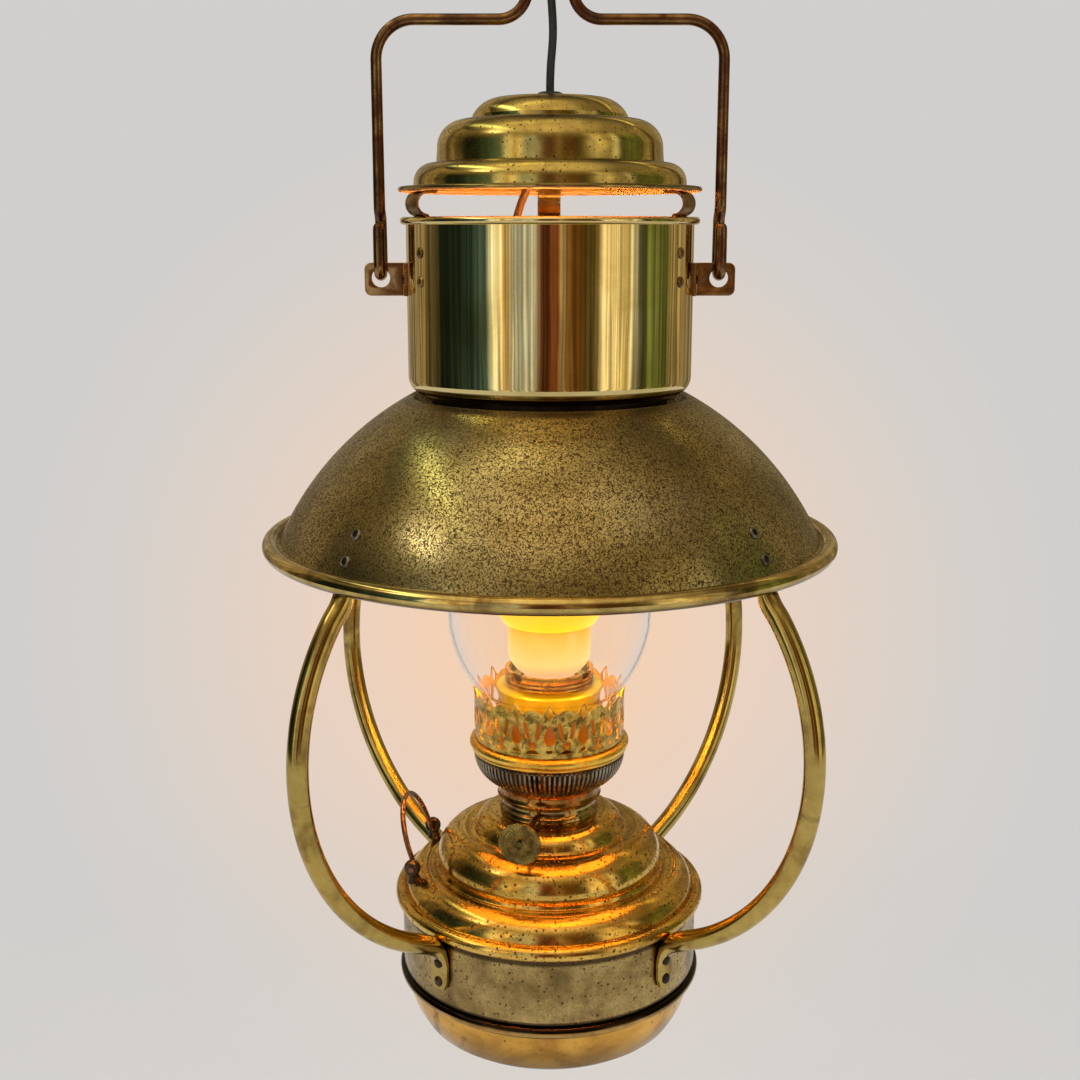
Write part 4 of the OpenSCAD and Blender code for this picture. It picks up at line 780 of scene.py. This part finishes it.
tube_line = [(10, SHAFT_Z + 4), (11, SHAFT_Z + 4), (11, TUBE_TOP), (10, TUBE_TOP)]
plate_line = [(10, BASKET_LOW - 1), (NECK_BORE, BASKET_LOW - 1), (NECK_BORE, BASKET_LOW), (10, BASKET_LOW)]
join("wick_tube_wall", [lathe(tube_line, 72), lathe(plate_line, 96)], "tank", "burner_brass", ["wick_tube"])

# Gallery ring, pierced crown and deck
seat_line = [(22, BASKET_TOP), (36.6, BASKET_TOP), (36.6, CROWN_LOW), (33, CROWN_LOW), (33, CROWN_LOW - 1.2),
             (22, CROWN_LOW - 1.2)]
join("gallery", [bead(GALLERY_R - GALLERY_BEAD_R, GALLERY_Z, GALLERY_BEAD_R, 224),
                 bead(37.2, BASKET_TOP - 0.1, 1, 224, 16), lathe(seat_line, 160)],
     "tank", "gallery_brass", ["gallery_ring"])
REPEATS = 14
STEP = 2 * math.pi * CROWN_R / REPEATS


def mirror(points):
    return list(points) + [(-x, z) for x, z in reversed(points) if abs(x) > 1e-6]


def crown_holes():
    """Cut-outs of one repeat: bell, stem slits and small holes, then drop, small oval and leaf between repeats."""
    bell = [(0, 2.6), (2.8, 2.6), (3.1, 3.2), (1.5, 4.3), (0.8, 5.2), (1.3, 6.4), (2.1, 7.5), (1.6, 8.3), (0, 8.5)]
    slit = [(1.25, 10.4), (2.1, 9.2), (3.1, 10.8), (4, 13.6), (4.6, 16.8), (4.4, 18), (3.4, 18.5), (2.4, 17),
            (1.7, 14.2)]
    drop = [(0, 7), (1.4, 7.3), (2.5, 8.6), (2.9, 10.4), (2.5, 12.6), (1.4, 15), (0.45, 16.7), (0, 17.6)]
    oval = [(0, 3), (1.2, 3.2), (1.7, 4), (1.2, 4.8), (0, 5)]
    leaf = [(0, 19.2), (0.9, 20.6), (1.35, 22.2), (1.1, 23.9), (0.35, 25.6), (0, 26.1)]
    loops = [mirror(bell)]
    for shape in (slit, circle(2.9, 21, 0.45, 10)):
        loops += [shape, [(-x, z) for x, z in reversed(shape)]]
    return loops + [shift(mirror(shape), STEP / 2) for shape in (drop, oval, leaf)]


def crown():
    """The strip of fretwork, cut out flat and then rolled up."""
    tooth = mirror([(-STEP / 2, 27.2), (-STEP / 2 + 0.8, 26.2), (-STEP / 2 + 2, 23.6), (-5, 22.2), (-3.9, 22.5),
                    (-2.2, 23.9), (0, 24.4)])[:-1]
    end = REPEATS * STEP / 2
    top, holes = [], []
    for k in range(REPEATS):
        at = (k - REPEATS / 2 + 0.5) * STEP
        top += shift(tooth, at)
        holes += [shift(loop, at, CROWN_LOW) for loop in crown_holes()]
    outline = shift([(end, 0), (end, 27.2)] + top[::-1] + [(-end, 0)], z=CROWN_LOW)
    verts, faces = plate(outline, holes[:-3], 0.7, 0.14)
    work = bmesh.new()
    made = [work.verts.new(v) for v in verts]
    for f in faces:
        try:
            work.faces.new([made[i] for i in f])
        except ValueError:
            pass
    for x in spread(-end, end, REPEATS * 12)[1:-1]:
        bmesh.ops.bisect_plane(work, geom=work.verts[:] + work.edges[:] + work.faces[:], plane_co=(x, 0, 0),
                               plane_no=(1, 0, 0))
    work.verts.index_update()
    points = []
    for v in work.verts:
        x, y, z = v.co
        rise = z - CROWN_LOW
        flare = 1.3 * max(0, (rise - 20) / 7) ** 2 + 0.25 * math.sin(math.pi * min(rise, 24) / 24)
        points.append((*polar(CROWN_R - 0.35 - y + flare, math.degrees(x / CROWN_R) - 90), z))
    polys = [[v.index for v in f.verts] for f in work.faces]
    work.free()
    return points, polys


join("crown", [crown()], "tank", "gallery_brass", ["gallery_crown"], "crown_brass", 35)
SEAT_Z = DECK_Z + 3.4
deck_line = [(15.2, 0), (20.6, 0.1), (23.5, -0.2), (25.6, -0.9), (26, -1.8), (25.2, -6), (24.5, -12)]
deck_line = shift(deck_line, z=SEAT_Z) + [(24.5, CROWN_LOW)]
join("deck", [spun(deck_line, -0.9, 192, 0.8)], "tank", "gallery_brass", ["gallery_deck"], "deck_brass")

# Lamp holder: ribbed shell with four notches in its rim, and a black lining
HOLDER_R, NOTCHES = 21.6, (-138, -32, 42, 148, 222)
ribs = [(14, 0), (HOLDER_R - 0.2, 0)]
for z in (0.2, 2.2):
    ribs += shift([(0, 0.3), (0.2, 0.8), (0, 1.3), (-0.8, 1.65), (-0.8, 1.9)], HOLDER_R, z)
ribs += [(HOLDER_R - 0.2, 4.3), (19.2, 4.3), (19.2, 2.2), (14, 2.2)]
rim = shift([(-0.2, 4.2), (0, 4.8), (-0.5, 5.4), (-0.5, 6.4), (0.1, 7), (0, 7.6), (-0.5, 7.7)], HOLDER_R)
rim = shift(rim + [(19.6, 7.4), (19.4, 4.2)], z=SEAT_Z)
socket = [(14, SEAT_Z), (14.8, SEAT_Z), (14.8, TUBE_TOP + 0.4), (0, TUBE_TOP + 0.4), (0, TUBE_TOP + 1.6),
          (14, TUBE_TOP + 1.6)]
shell = [lathe(shift(ribs, z=SEAT_Z), 128)]
shell += [part_lathe(rim, a0 + 9.5, a1 - 9.5, 30) for a0, a1 in zip(NOTCHES, NOTCHES[1:])]
join("holder_shell", shell + [lathe(socket, 96)], "tank", "burner_brass", ["lamp_holder"], "holder_copper", 35)
liner = [(14.2, 2.25), (19.15, 2.25), (19.15, 6.9), (18.75, 6.9), (18.75, 2.6), (14.2, 2.6)]
join("holder_liner", [lathe(shift(liner, z=SEAT_Z), 96)], "tank", "flex_rubber")

# Wick wheel: shaft with its toothed wheels, and the stamped knob
along = rotate(KNOB_TURN) @ move(z=SHAFT_Z) @ rotate(90, "Y")
face = along @ move(z=KNOB_OUT - 0.3)
shaft = [lathe([(0, 0)] + soften([(1.3, 0), (1.3, KNOB_OUT - 1.6)], 0.3) + [(0, KNOB_OUT - 1.6)], 32)]
wheel = [polar(2.4 if k % 2 else 3.15, 18 * k) for k in range(20)]
shaft += [loft([[(*p, z) for p in wheel] for z in (x - 0.45, x + 0.45)]) for x in (4, 10)]
join("shaft", [placed(p, along) for p in shaft], "wick_wheel", "burner_brass", ["wick_shaft"])
knob_rim = [(-0.7, -1.15), (-0.1, -0.9), (0, -0.35), (-0.25, 0.25), (-0.9, 0.3), (-1.5, 0), (-2.2, -0.05),
            (-2.5, 0.2), (-2.9, 0.2), (-3.3, -0.05)]
knob_line = [(0, -1.6), (2.7, -1.6), (2.7, -1.2)] + shift(knob_rim, KNOB_R)
knob_line += [(3.6, -0.15), (3.1, 0.25), (2.6, 0.3), (2.2, 0.05), (1.5, 0), (1.2, 0.45), (0, 0.55)]
knob = [lathe(knob_line, 96)]
knob += [sweep([(*polar(4, 12 * k), -0.12), (*polar(6.6, 12 * k), -0.02)], [0.2, 0.3], 8) for k in range(30)]
join("knob", [placed(p, face) for p in knob], "wick_wheel", "knob_brass", ["wick_knob"])
pip = lathe([(0, 0.2), (0.75, 0.2), (0.9, 0.42), (0.6, 0.6), (0, 0.62)], 20)
join("knob_hub", [placed(pip, face @ move(x, y)) for x, y in ((-1.9, 0.3), (1.9, -0.3))], "wick_wheel", "knob_brass",
     look="dark_brass")

# Glass chimney, fire-polished at both ends
glass_line = [(32.6, 0), (32.6, 17.5)] + arc((33.2, 22), (49, 56.4), -2.8, 22)
glass_line = shift(glass_line + arc((49, 57.4), (31, 115.4), -6, 26) + [(26.5, 127.4), (25, 143.4)], z=GLASS_LOW)
glass_line.append((25, GLASS_TOP))
glass_line = [tuple(p) for p in smooth_route(glass_line[:2] + glass_line[2::2], 3)]
join("chimney", [lathe(sheet(glass_line, 1.3), 192)], "glass", "clear_glass", ["glass_chimney"], smooth=60)

# Bulb
tip_line = shift([(0, -3), (4.4, -3), (5, -2.4), (5, 0), (0, 0)], z=BULB_Z - 14)
screw = [lathe([(0, BULB_Z - 14), (13, BULB_Z - 14), (13, BULB_Z), (0, BULB_Z)], 72)]
screw += [bead(13, BULB_Z - 11 + 3.6 * k, 0.7, 72, 12) for k in range(3)] + [lathe(tip_line, 48)]
join("bulb_screw", screw, "bulb", "cap_metal", ["bulb_cap"])
body_line = [(0, 0), (12.2, 0)] + arc((12.4, 3.2), (19.6, 11.4), -1.2, 14) + [(20, 12.6)]
body_line = shift(body_line, z=BULB_Z) + [(20, BULB_JOINT - 0.5), (19.6, BULB_JOINT), (0, BULB_JOINT)]
bulb_shell = join("bulb_shell", [lathe(body_line, 128)], "bulb", "bulb_white", ["bulb_body"])
dome_mid = BULB_TOP - BULB_R
dome_start = math.degrees(math.asin((BULB_JOINT + 0.8 - dome_mid) / BULB_R))
dome_line = [(0, BULB_JOINT), (19.6, BULB_JOINT), (20.6, BULB_JOINT + 0.25)]
dome_line += ring(0, dome_mid, BULB_R, dome_start, 90, 36)[:-1] + [(0, BULB_TOP)]
bulb_dome = join("bulb_diffuser", [lathe(dome_line, 144)], "bulb", "bulb_glow", ["bulb_dome"])
bulb_shell.visible_shadow = bulb_dome.visible_shadow = False


# Bail: one rod, bent to an eye in the middle and to a hook at each end
def bend_points(x, y, z, r, a0, a1, n, across=0):
    """Points of a bend about (x, y, z) that lies across axis 0 or 1, and up."""
    points = []
    for run, up in ring(0, z, r, a0, a1, n):
        points.append(Vector((x, y + run, up) if across else (x + run, y, up)))
    return points


eye_turn = math.degrees(math.asin((BAIL_EYE_Z - BAIL_BAR_Z - BAIL_BEND_R) / (BAIL_EYE_R + BAIL_BEND_R)))
jog = PIVOT_Z + 18
half = bend_points(0, 0, BAIL_EYE_Z, BAIL_EYE_R, 90, 9 - eye_turn, 22)
half += bend_points(10 + BAIL_BEND_R, 0, BAIL_BAR_Z + BAIL_BEND_R, BAIL_BEND_R, 189 - eye_turn, 270, 14)
half += bend_points(BAIL_X - 17, 0, BAIL_BAR_Z - 17, 17, 90, 0, 14)
half += bend_points(BAIL_X, HOOK_R, jog + 2 * HOOK_R * math.sin(math.radians(60)), HOOK_R, 180, 240, 5, 1)
half += bend_points(BAIL_X, 0, jog, HOOK_R, 30, 0, 4, 1) + bend_points(BAIL_X, 0, PIVOT_Z, HOOK_R, 0, -180, 16, 1)
half += [Vector((BAIL_X, -HOOK_R, PIVOT_Z + h)) for h in (4, 8, 12, 15, 16.6, 17.7, 18.3)]
bail_line = [Vector((-p.x, p.y, p.z)) for p in half[:0:-1]] + half
swell = [ROD_R + 0.25 * max(0, min(1, (-60 - p.z) / 80)) ** 2 for p in bail_line]
for k, share in enumerate((0.35, 0.75, 0.95)):
    swell[k] *= share
    swell[-1 - k] *= share
join("bail_rod", [sweep(bail_line, swell, 28)], "bail", "bail_brass", ["bail"], smooth=60)
plug = [(0, 24), (3, 24), (3.4, 24.5)] + arc((6, 32.5), (6.5, 35.9), 0.2, 4)
plug += [(6.5, 40), (6.1, 40.4), (6.5, 40.8), (6.5, 54.6), (5.3, 58), (0, 58)]
connector = join("connector", [placed(lathe(soften(plug, 0.6), 64), move(0, 6))], "bail", "black_plastic",
                 ["cord_connector"])

# Studio. The pale background has a warm halo behind the lamp: its colours by share of HALO_REACH radians
HALO_WAY, HALO_REACH = (0, math.cos(math.radians(15.5)), -math.sin(math.radians(15.5))), 0.4
HALO = ((0, srgb(247, 208, 173)), (0.19, srgb(242, 209, 181)), (0.38, srgb(233, 210, 193)),
        (0.55, srgb(223, 209, 198)), (0.71, srgb(214, 208, 203)), (0.87, srgb(209, 207, 205)))
FLOOR_Z, ROOM_R, CEILING_Z = -0.95, 2.5, 1.7


def halo(graph, way):
    """Colour of the background along a way."""
    dot = graph.vector("DOT_PRODUCT", graph.vector("NORMALIZE", way), HALO_WAY)
    return graph.ramp(graph.math("DIVIDE", graph.math("ARCCOSINE", dot), HALO_REACH), *HALO)


world = bpy.data.worlds.new("studio")
scene.world = world
world.use_nodes = True
air = Graph(world.node_tree)
pale = air.add("Background", {0: halo(air, air.add("TexCoord").outputs["Generated"])})
fill = air.add("Background", {0: (0.62, 0.62, 0.62), 1: 0.75})
both = air.add("MixShader", {0: air.seen(), 1: fill.outputs[0], 2: pale.outputs[0]})
air.add("OutputWorld", {0: both.outputs[0]})


def light(kind, name, at, power, colour, **settings):
    data = bpy.data.lights.new(name, kind)
    data.energy = power
    data.color = colour
    for key, value in settings.items():
        setattr(data, key, value)
    thing = bpy.data.objects.new(name, data)
    thing.location = at
    scene.collection.objects.link(thing)
    return thing


for name, at, aim_z, wide, high, power, colour in (("key", (-1.1, -1.3, 0.7), -0.25, 0.8, 1.2, 18, (1, 0.98, 0.95)),
                                                   ("right", (1.4, -0.7, 0.2), -0.3, 0.6, 1.4, 8, (0.97, 0.99, 1)),
                                                   ("top", (0.1, 0.2, 1.3), -0.2, 1, 1, 8, (1, 1, 1))):
    lamp = light("AREA", name, at, power, colour, shape="RECTANGLE", size=wide, size_y=high)
    lamp.rotation_euler = (Vector((0, 0, aim_z)) - Vector(at)).to_track_quat("-Z", "Y").to_euler()
    lamp.visible_glossy = False
light("POINT", "bulb_light", (0, 0, -0.294), 12, (1, 0.57, 0.14), shadow_soft_size=0.026)


def studio_piece(name, points, faces, mirror_only=True):
    """A surface of the studio with the look of its name, in mirrors alone unless told otherwise."""
    mesh = bpy.data.meshes.new(name)
    mesh.from_pydata(points, [], faces)
    mesh.materials.append(LOOKS[name])
    thing = bpy.data.objects.new(name, mesh)
    scene.collection.objects.link(thing)
    if mirror_only:
        for ray in ("camera", "diffuse", "transmission", "volume_scatter", "shadow"):
            setattr(thing, "visible_" + ray, False)


def square(reach, z):
    return [(-reach, -reach, z), (reach, -reach, z), (reach, reach, z), (-reach, reach, z)]


# What the polished brass mirrors: azimuth in degrees, from the front to the right, and the glow there
ROOM = ((-180, (0.46, 0.39, 0.27)), (-130, (0.5, 0.4, 0.25)), (-114, (0.5, 0.38, 0.21)), (-111, (0.05, 0.04, 0.03)),
        (-108, (0.2, 0.16, 0.09)), (-99, (0.13, 0.11, 0.07)), (-95, (0.012, 0.02, 0.016)), (-76, (0.02, 0.034, 0.028)),
        (-66, (0.05, 0.09, 0.09)), (-50, (0.13, 0.22, 0.24)), (-46, (1.4, 1.4, 1.3)), (-40, (1.6, 1.45, 1.2)),
        (-37, (0.62, 0.36, 0.14)), (-32, (1.3, 1.05, 0.7)), (-27, (0.72, 0.76, 0.82)), (-13, (0.8, 0.84, 0.96)),
        (-9, (0.35, 0.16, 0.08)), (-6, (0.1, 0.035, 0.02)), (6, (0.26, 0.09, 0.035)), (9, (0.75, 0.62, 0.42)),
        (12, (0.24, 0.13, 0.05)), (23, (0.2, 0.08, 0.02)), (28, (0.12, 0.09, 0.035)), (36, (0.2, 0.15, 0.06)),
        (40, (1.45, 1.28, 1)), (57, (1.3, 1.1, 0.7)), (63, (0.5, 0.4, 0.16)), (67, (1.35, 1.3, 1.2)),
        (75, (0.05, 0.05, 0.03)), (84, (0.24, 0.28, 0.1)), (104, (0.15, 0.17, 0.06)), (110, (0.42, 0.33, 0.18)))


def room_look():
    look = Look("room")
    at = look.add("SeparateXYZ", {"Vector": look.place}).outputs
    wave = look.math("SUBTRACT", look.noise(1.1, 2, 0.5, look.place, 0.5), 0.5)
    turn = look.math("ARCTAN2", at["X"], look.math("MULTIPLY", at["Y"], -1))
    turn = look.math("MULTIPLY_ADD", wave, 0.16, turn)
    glow = look.ramp(look.math("MULTIPLY_ADD", turn, 0.5 / math.pi, 0.5), *[((a + 180) / 360, c) for a, c in ROOM])

    def streaks(around, up, detail, *stops):
        ways = {"X": look.math("MULTIPLY", turn, around), "Y": look.math("MULTIPLY", at["Z"], up)}
        return look.ramp(look.noise(1, detail, 0.6, look.add("CombineXYZ", ways).outputs[0]), *stops)

    streaked = look.math("MULTIPLY", streaks(14, 0.7, 3, (0.36, 0.4), (0.6, 1.15)),
                         streaks(30, 0.5, 2, (0.4, 0.5), (0.55, 1.1)))
    blur = look.ramp(look.noise(1.6, 3, 0.6), (0.35, 0.7), (0.65, 1.1))
    glow = look.mix(1, glow, look.math("MULTIPLY", streaked, blur), "MULTIPLY")
    above = look.ramp(look.math("DIVIDE", at["Z"], 2), (0.35, 0), (0.8, 0.75))
    look.show("Emission", {"Color": look.mix(above, glow, (0.34, 0.26, 0.14)), "Strength": 1.15})


room_look()
room_line = [polar(ROOM_R, a) for a in range(0, 360, 3)]
studio_piece("room", [(*p, z) for z in (-0.94, 1.75) for p in room_line],
             [[i, (i + 1) % 120, 120 + (i + 1) % 120, 120 + i] for i in range(120)])

# Soft patches of light overhead: place, reach along and across, turn and glow
OVERHEAD = (((-0.2, -0.95), (1.6, 1.5), 0, (0.98, 0.82, 0.6)), ((-2.15, -0.85), (0.6, 0.5), 20, (3.6, 3.4, 2.9)),
            ((-1.38, 0.25), (1.05, 0.17), 96, (3.2, 3.6, 2.2)), ((1.35, 1.55), (1, 0.13), -14, (1.6, 1.35, 0.45)),
            ((0.3, 1.3), (1.6, 0.75), 0, (-0.18, -0.13, -0.08)), ((-0.35, 0.05), (0.7, 0.28), 10, (0.9, 0.85, 0.42)),
            ((-2.1, 1.25), (1.1, 1.1), 0, (-0.26, -0.19, -0.11)))


def ceiling_look():
    look = Look("ceiling")
    total = (0.25, 0.195, 0.13)
    for (x, y), (along, across), turn, colour in OVERHEAD:
        c, s = polar(1, turn)
        away = look.vector("SUBTRACT", look.place, (x, y, CEILING_Z))
        u = look.vector("DOT_PRODUCT", away, (c / along, s / along, 0))
        v = look.vector("DOT_PRODUCT", away, (-s / across, c / across, 0))
        steep = look.math("MULTIPLY", look.math("MULTIPLY_ADD", u, u, look.math("MULTIPLY", v, v)), -1.4)
        patch = look.vector("MULTIPLY", colour, look.math("POWER", 2.718, steep))
        total = look.vector("ADD", patch, total)
    look.show("Emission", {"Color": look.vector("MAXIMUM", total, (0.03, 0.03, 0.03))})


ceiling_look()
studio_piece("ceiling", square(4, CEILING_Z), [[0, 1, 2, 3]])


def floor_look():
    """Matte floor that fades into the background."""
    look = Look("floor")
    tone = look.ramp(look.noise(2, 3), (0.3, (0.78, 0.78, 0.77)), (0.7, (0.8, 0.8, 0.79)))
    matte = look.add("BsdfDiffuse", {"Color": tone})
    spot = look.add("NewGeometry").outputs["Position"]
    glow = look.add("Emission", {"Color": halo(look, look.vector("SUBTRACT", spot, EYE))})
    far = look.ramp(look.math("DIVIDE", look.vector("LENGTH", spot), 2), (0.5, 0.75), (0.8, 1))
    share = look.math("MULTIPLY", look.seen(), far)
    look.show("MixShader", {0: share, 1: matte.outputs[0], 2: glow.outputs[0]})


floor_look()
studio_piece("floor", square(60, FLOOR_Z), [[0, 1, 2, 3]], mirror_only=False)

# Cords
FLEX_D = 3.7
flex_route = [(0, 0, CAP_TOP + 3.2), (0, 0, CAP_TOP + 7.2), (0.3, 0.3, -58), (0.8, 1.2, -52), (1.2, 2.5, -46),
              (1.2, 3.9, -40), (0.8, 5.1, -33), (0.3, 5.8, -26)] + [(0, 6, z) for z in (-18, -10, -2, 6, 13, 19, 24)]
lead_route = [(0, 0, CAP_TOP - 5), (0, 0, CAP_TOP - 9), (-0.5, 0.3, -86), (-2, 1, -93), (-4.5, 2, -100),
              (-8, 3.2, -107), (-11.5, 4.5, -114), (-14.5, 6, -122), (-16.4, 7.5, -131), (-17.2, 9, -141),
              (-17, 10.6, -152), (-15.8, 12.4, -164), (-13.4, 14.6, -177), (-10.4, 16.6, -191), (-7.2, 18.2, -206),
              (-4.2, 19.4, -221), (-1.8, 21.4, -236), (-0.6, 24, -250), (0, 28.2, -263), (0, 32, -276),
              (0, 32.4, -290), (0, 32, -303), (0, 30.2, -314), (0, 27.2, -323), (0, 24.4, -331), (0, 22.8, -338),
              (0, 22.5, DECK_Z + 5), (0, 22.5, DECK_Z)]


flex_line = smooth_route(flex_route, 8)
flex = join("flex", [sweep(flex_line, FLEX_D / 2, 20)], None, "flex_rubber", ["supply_cord"])
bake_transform(flex)

lead_line = smooth_route(lead_route, 5)
lead = join("lead", [sweep(lead_line, FLEX_D / 2, 20)], None, "flex_rubber", ["inner_lead"], "lead_rubber")
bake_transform(lead)
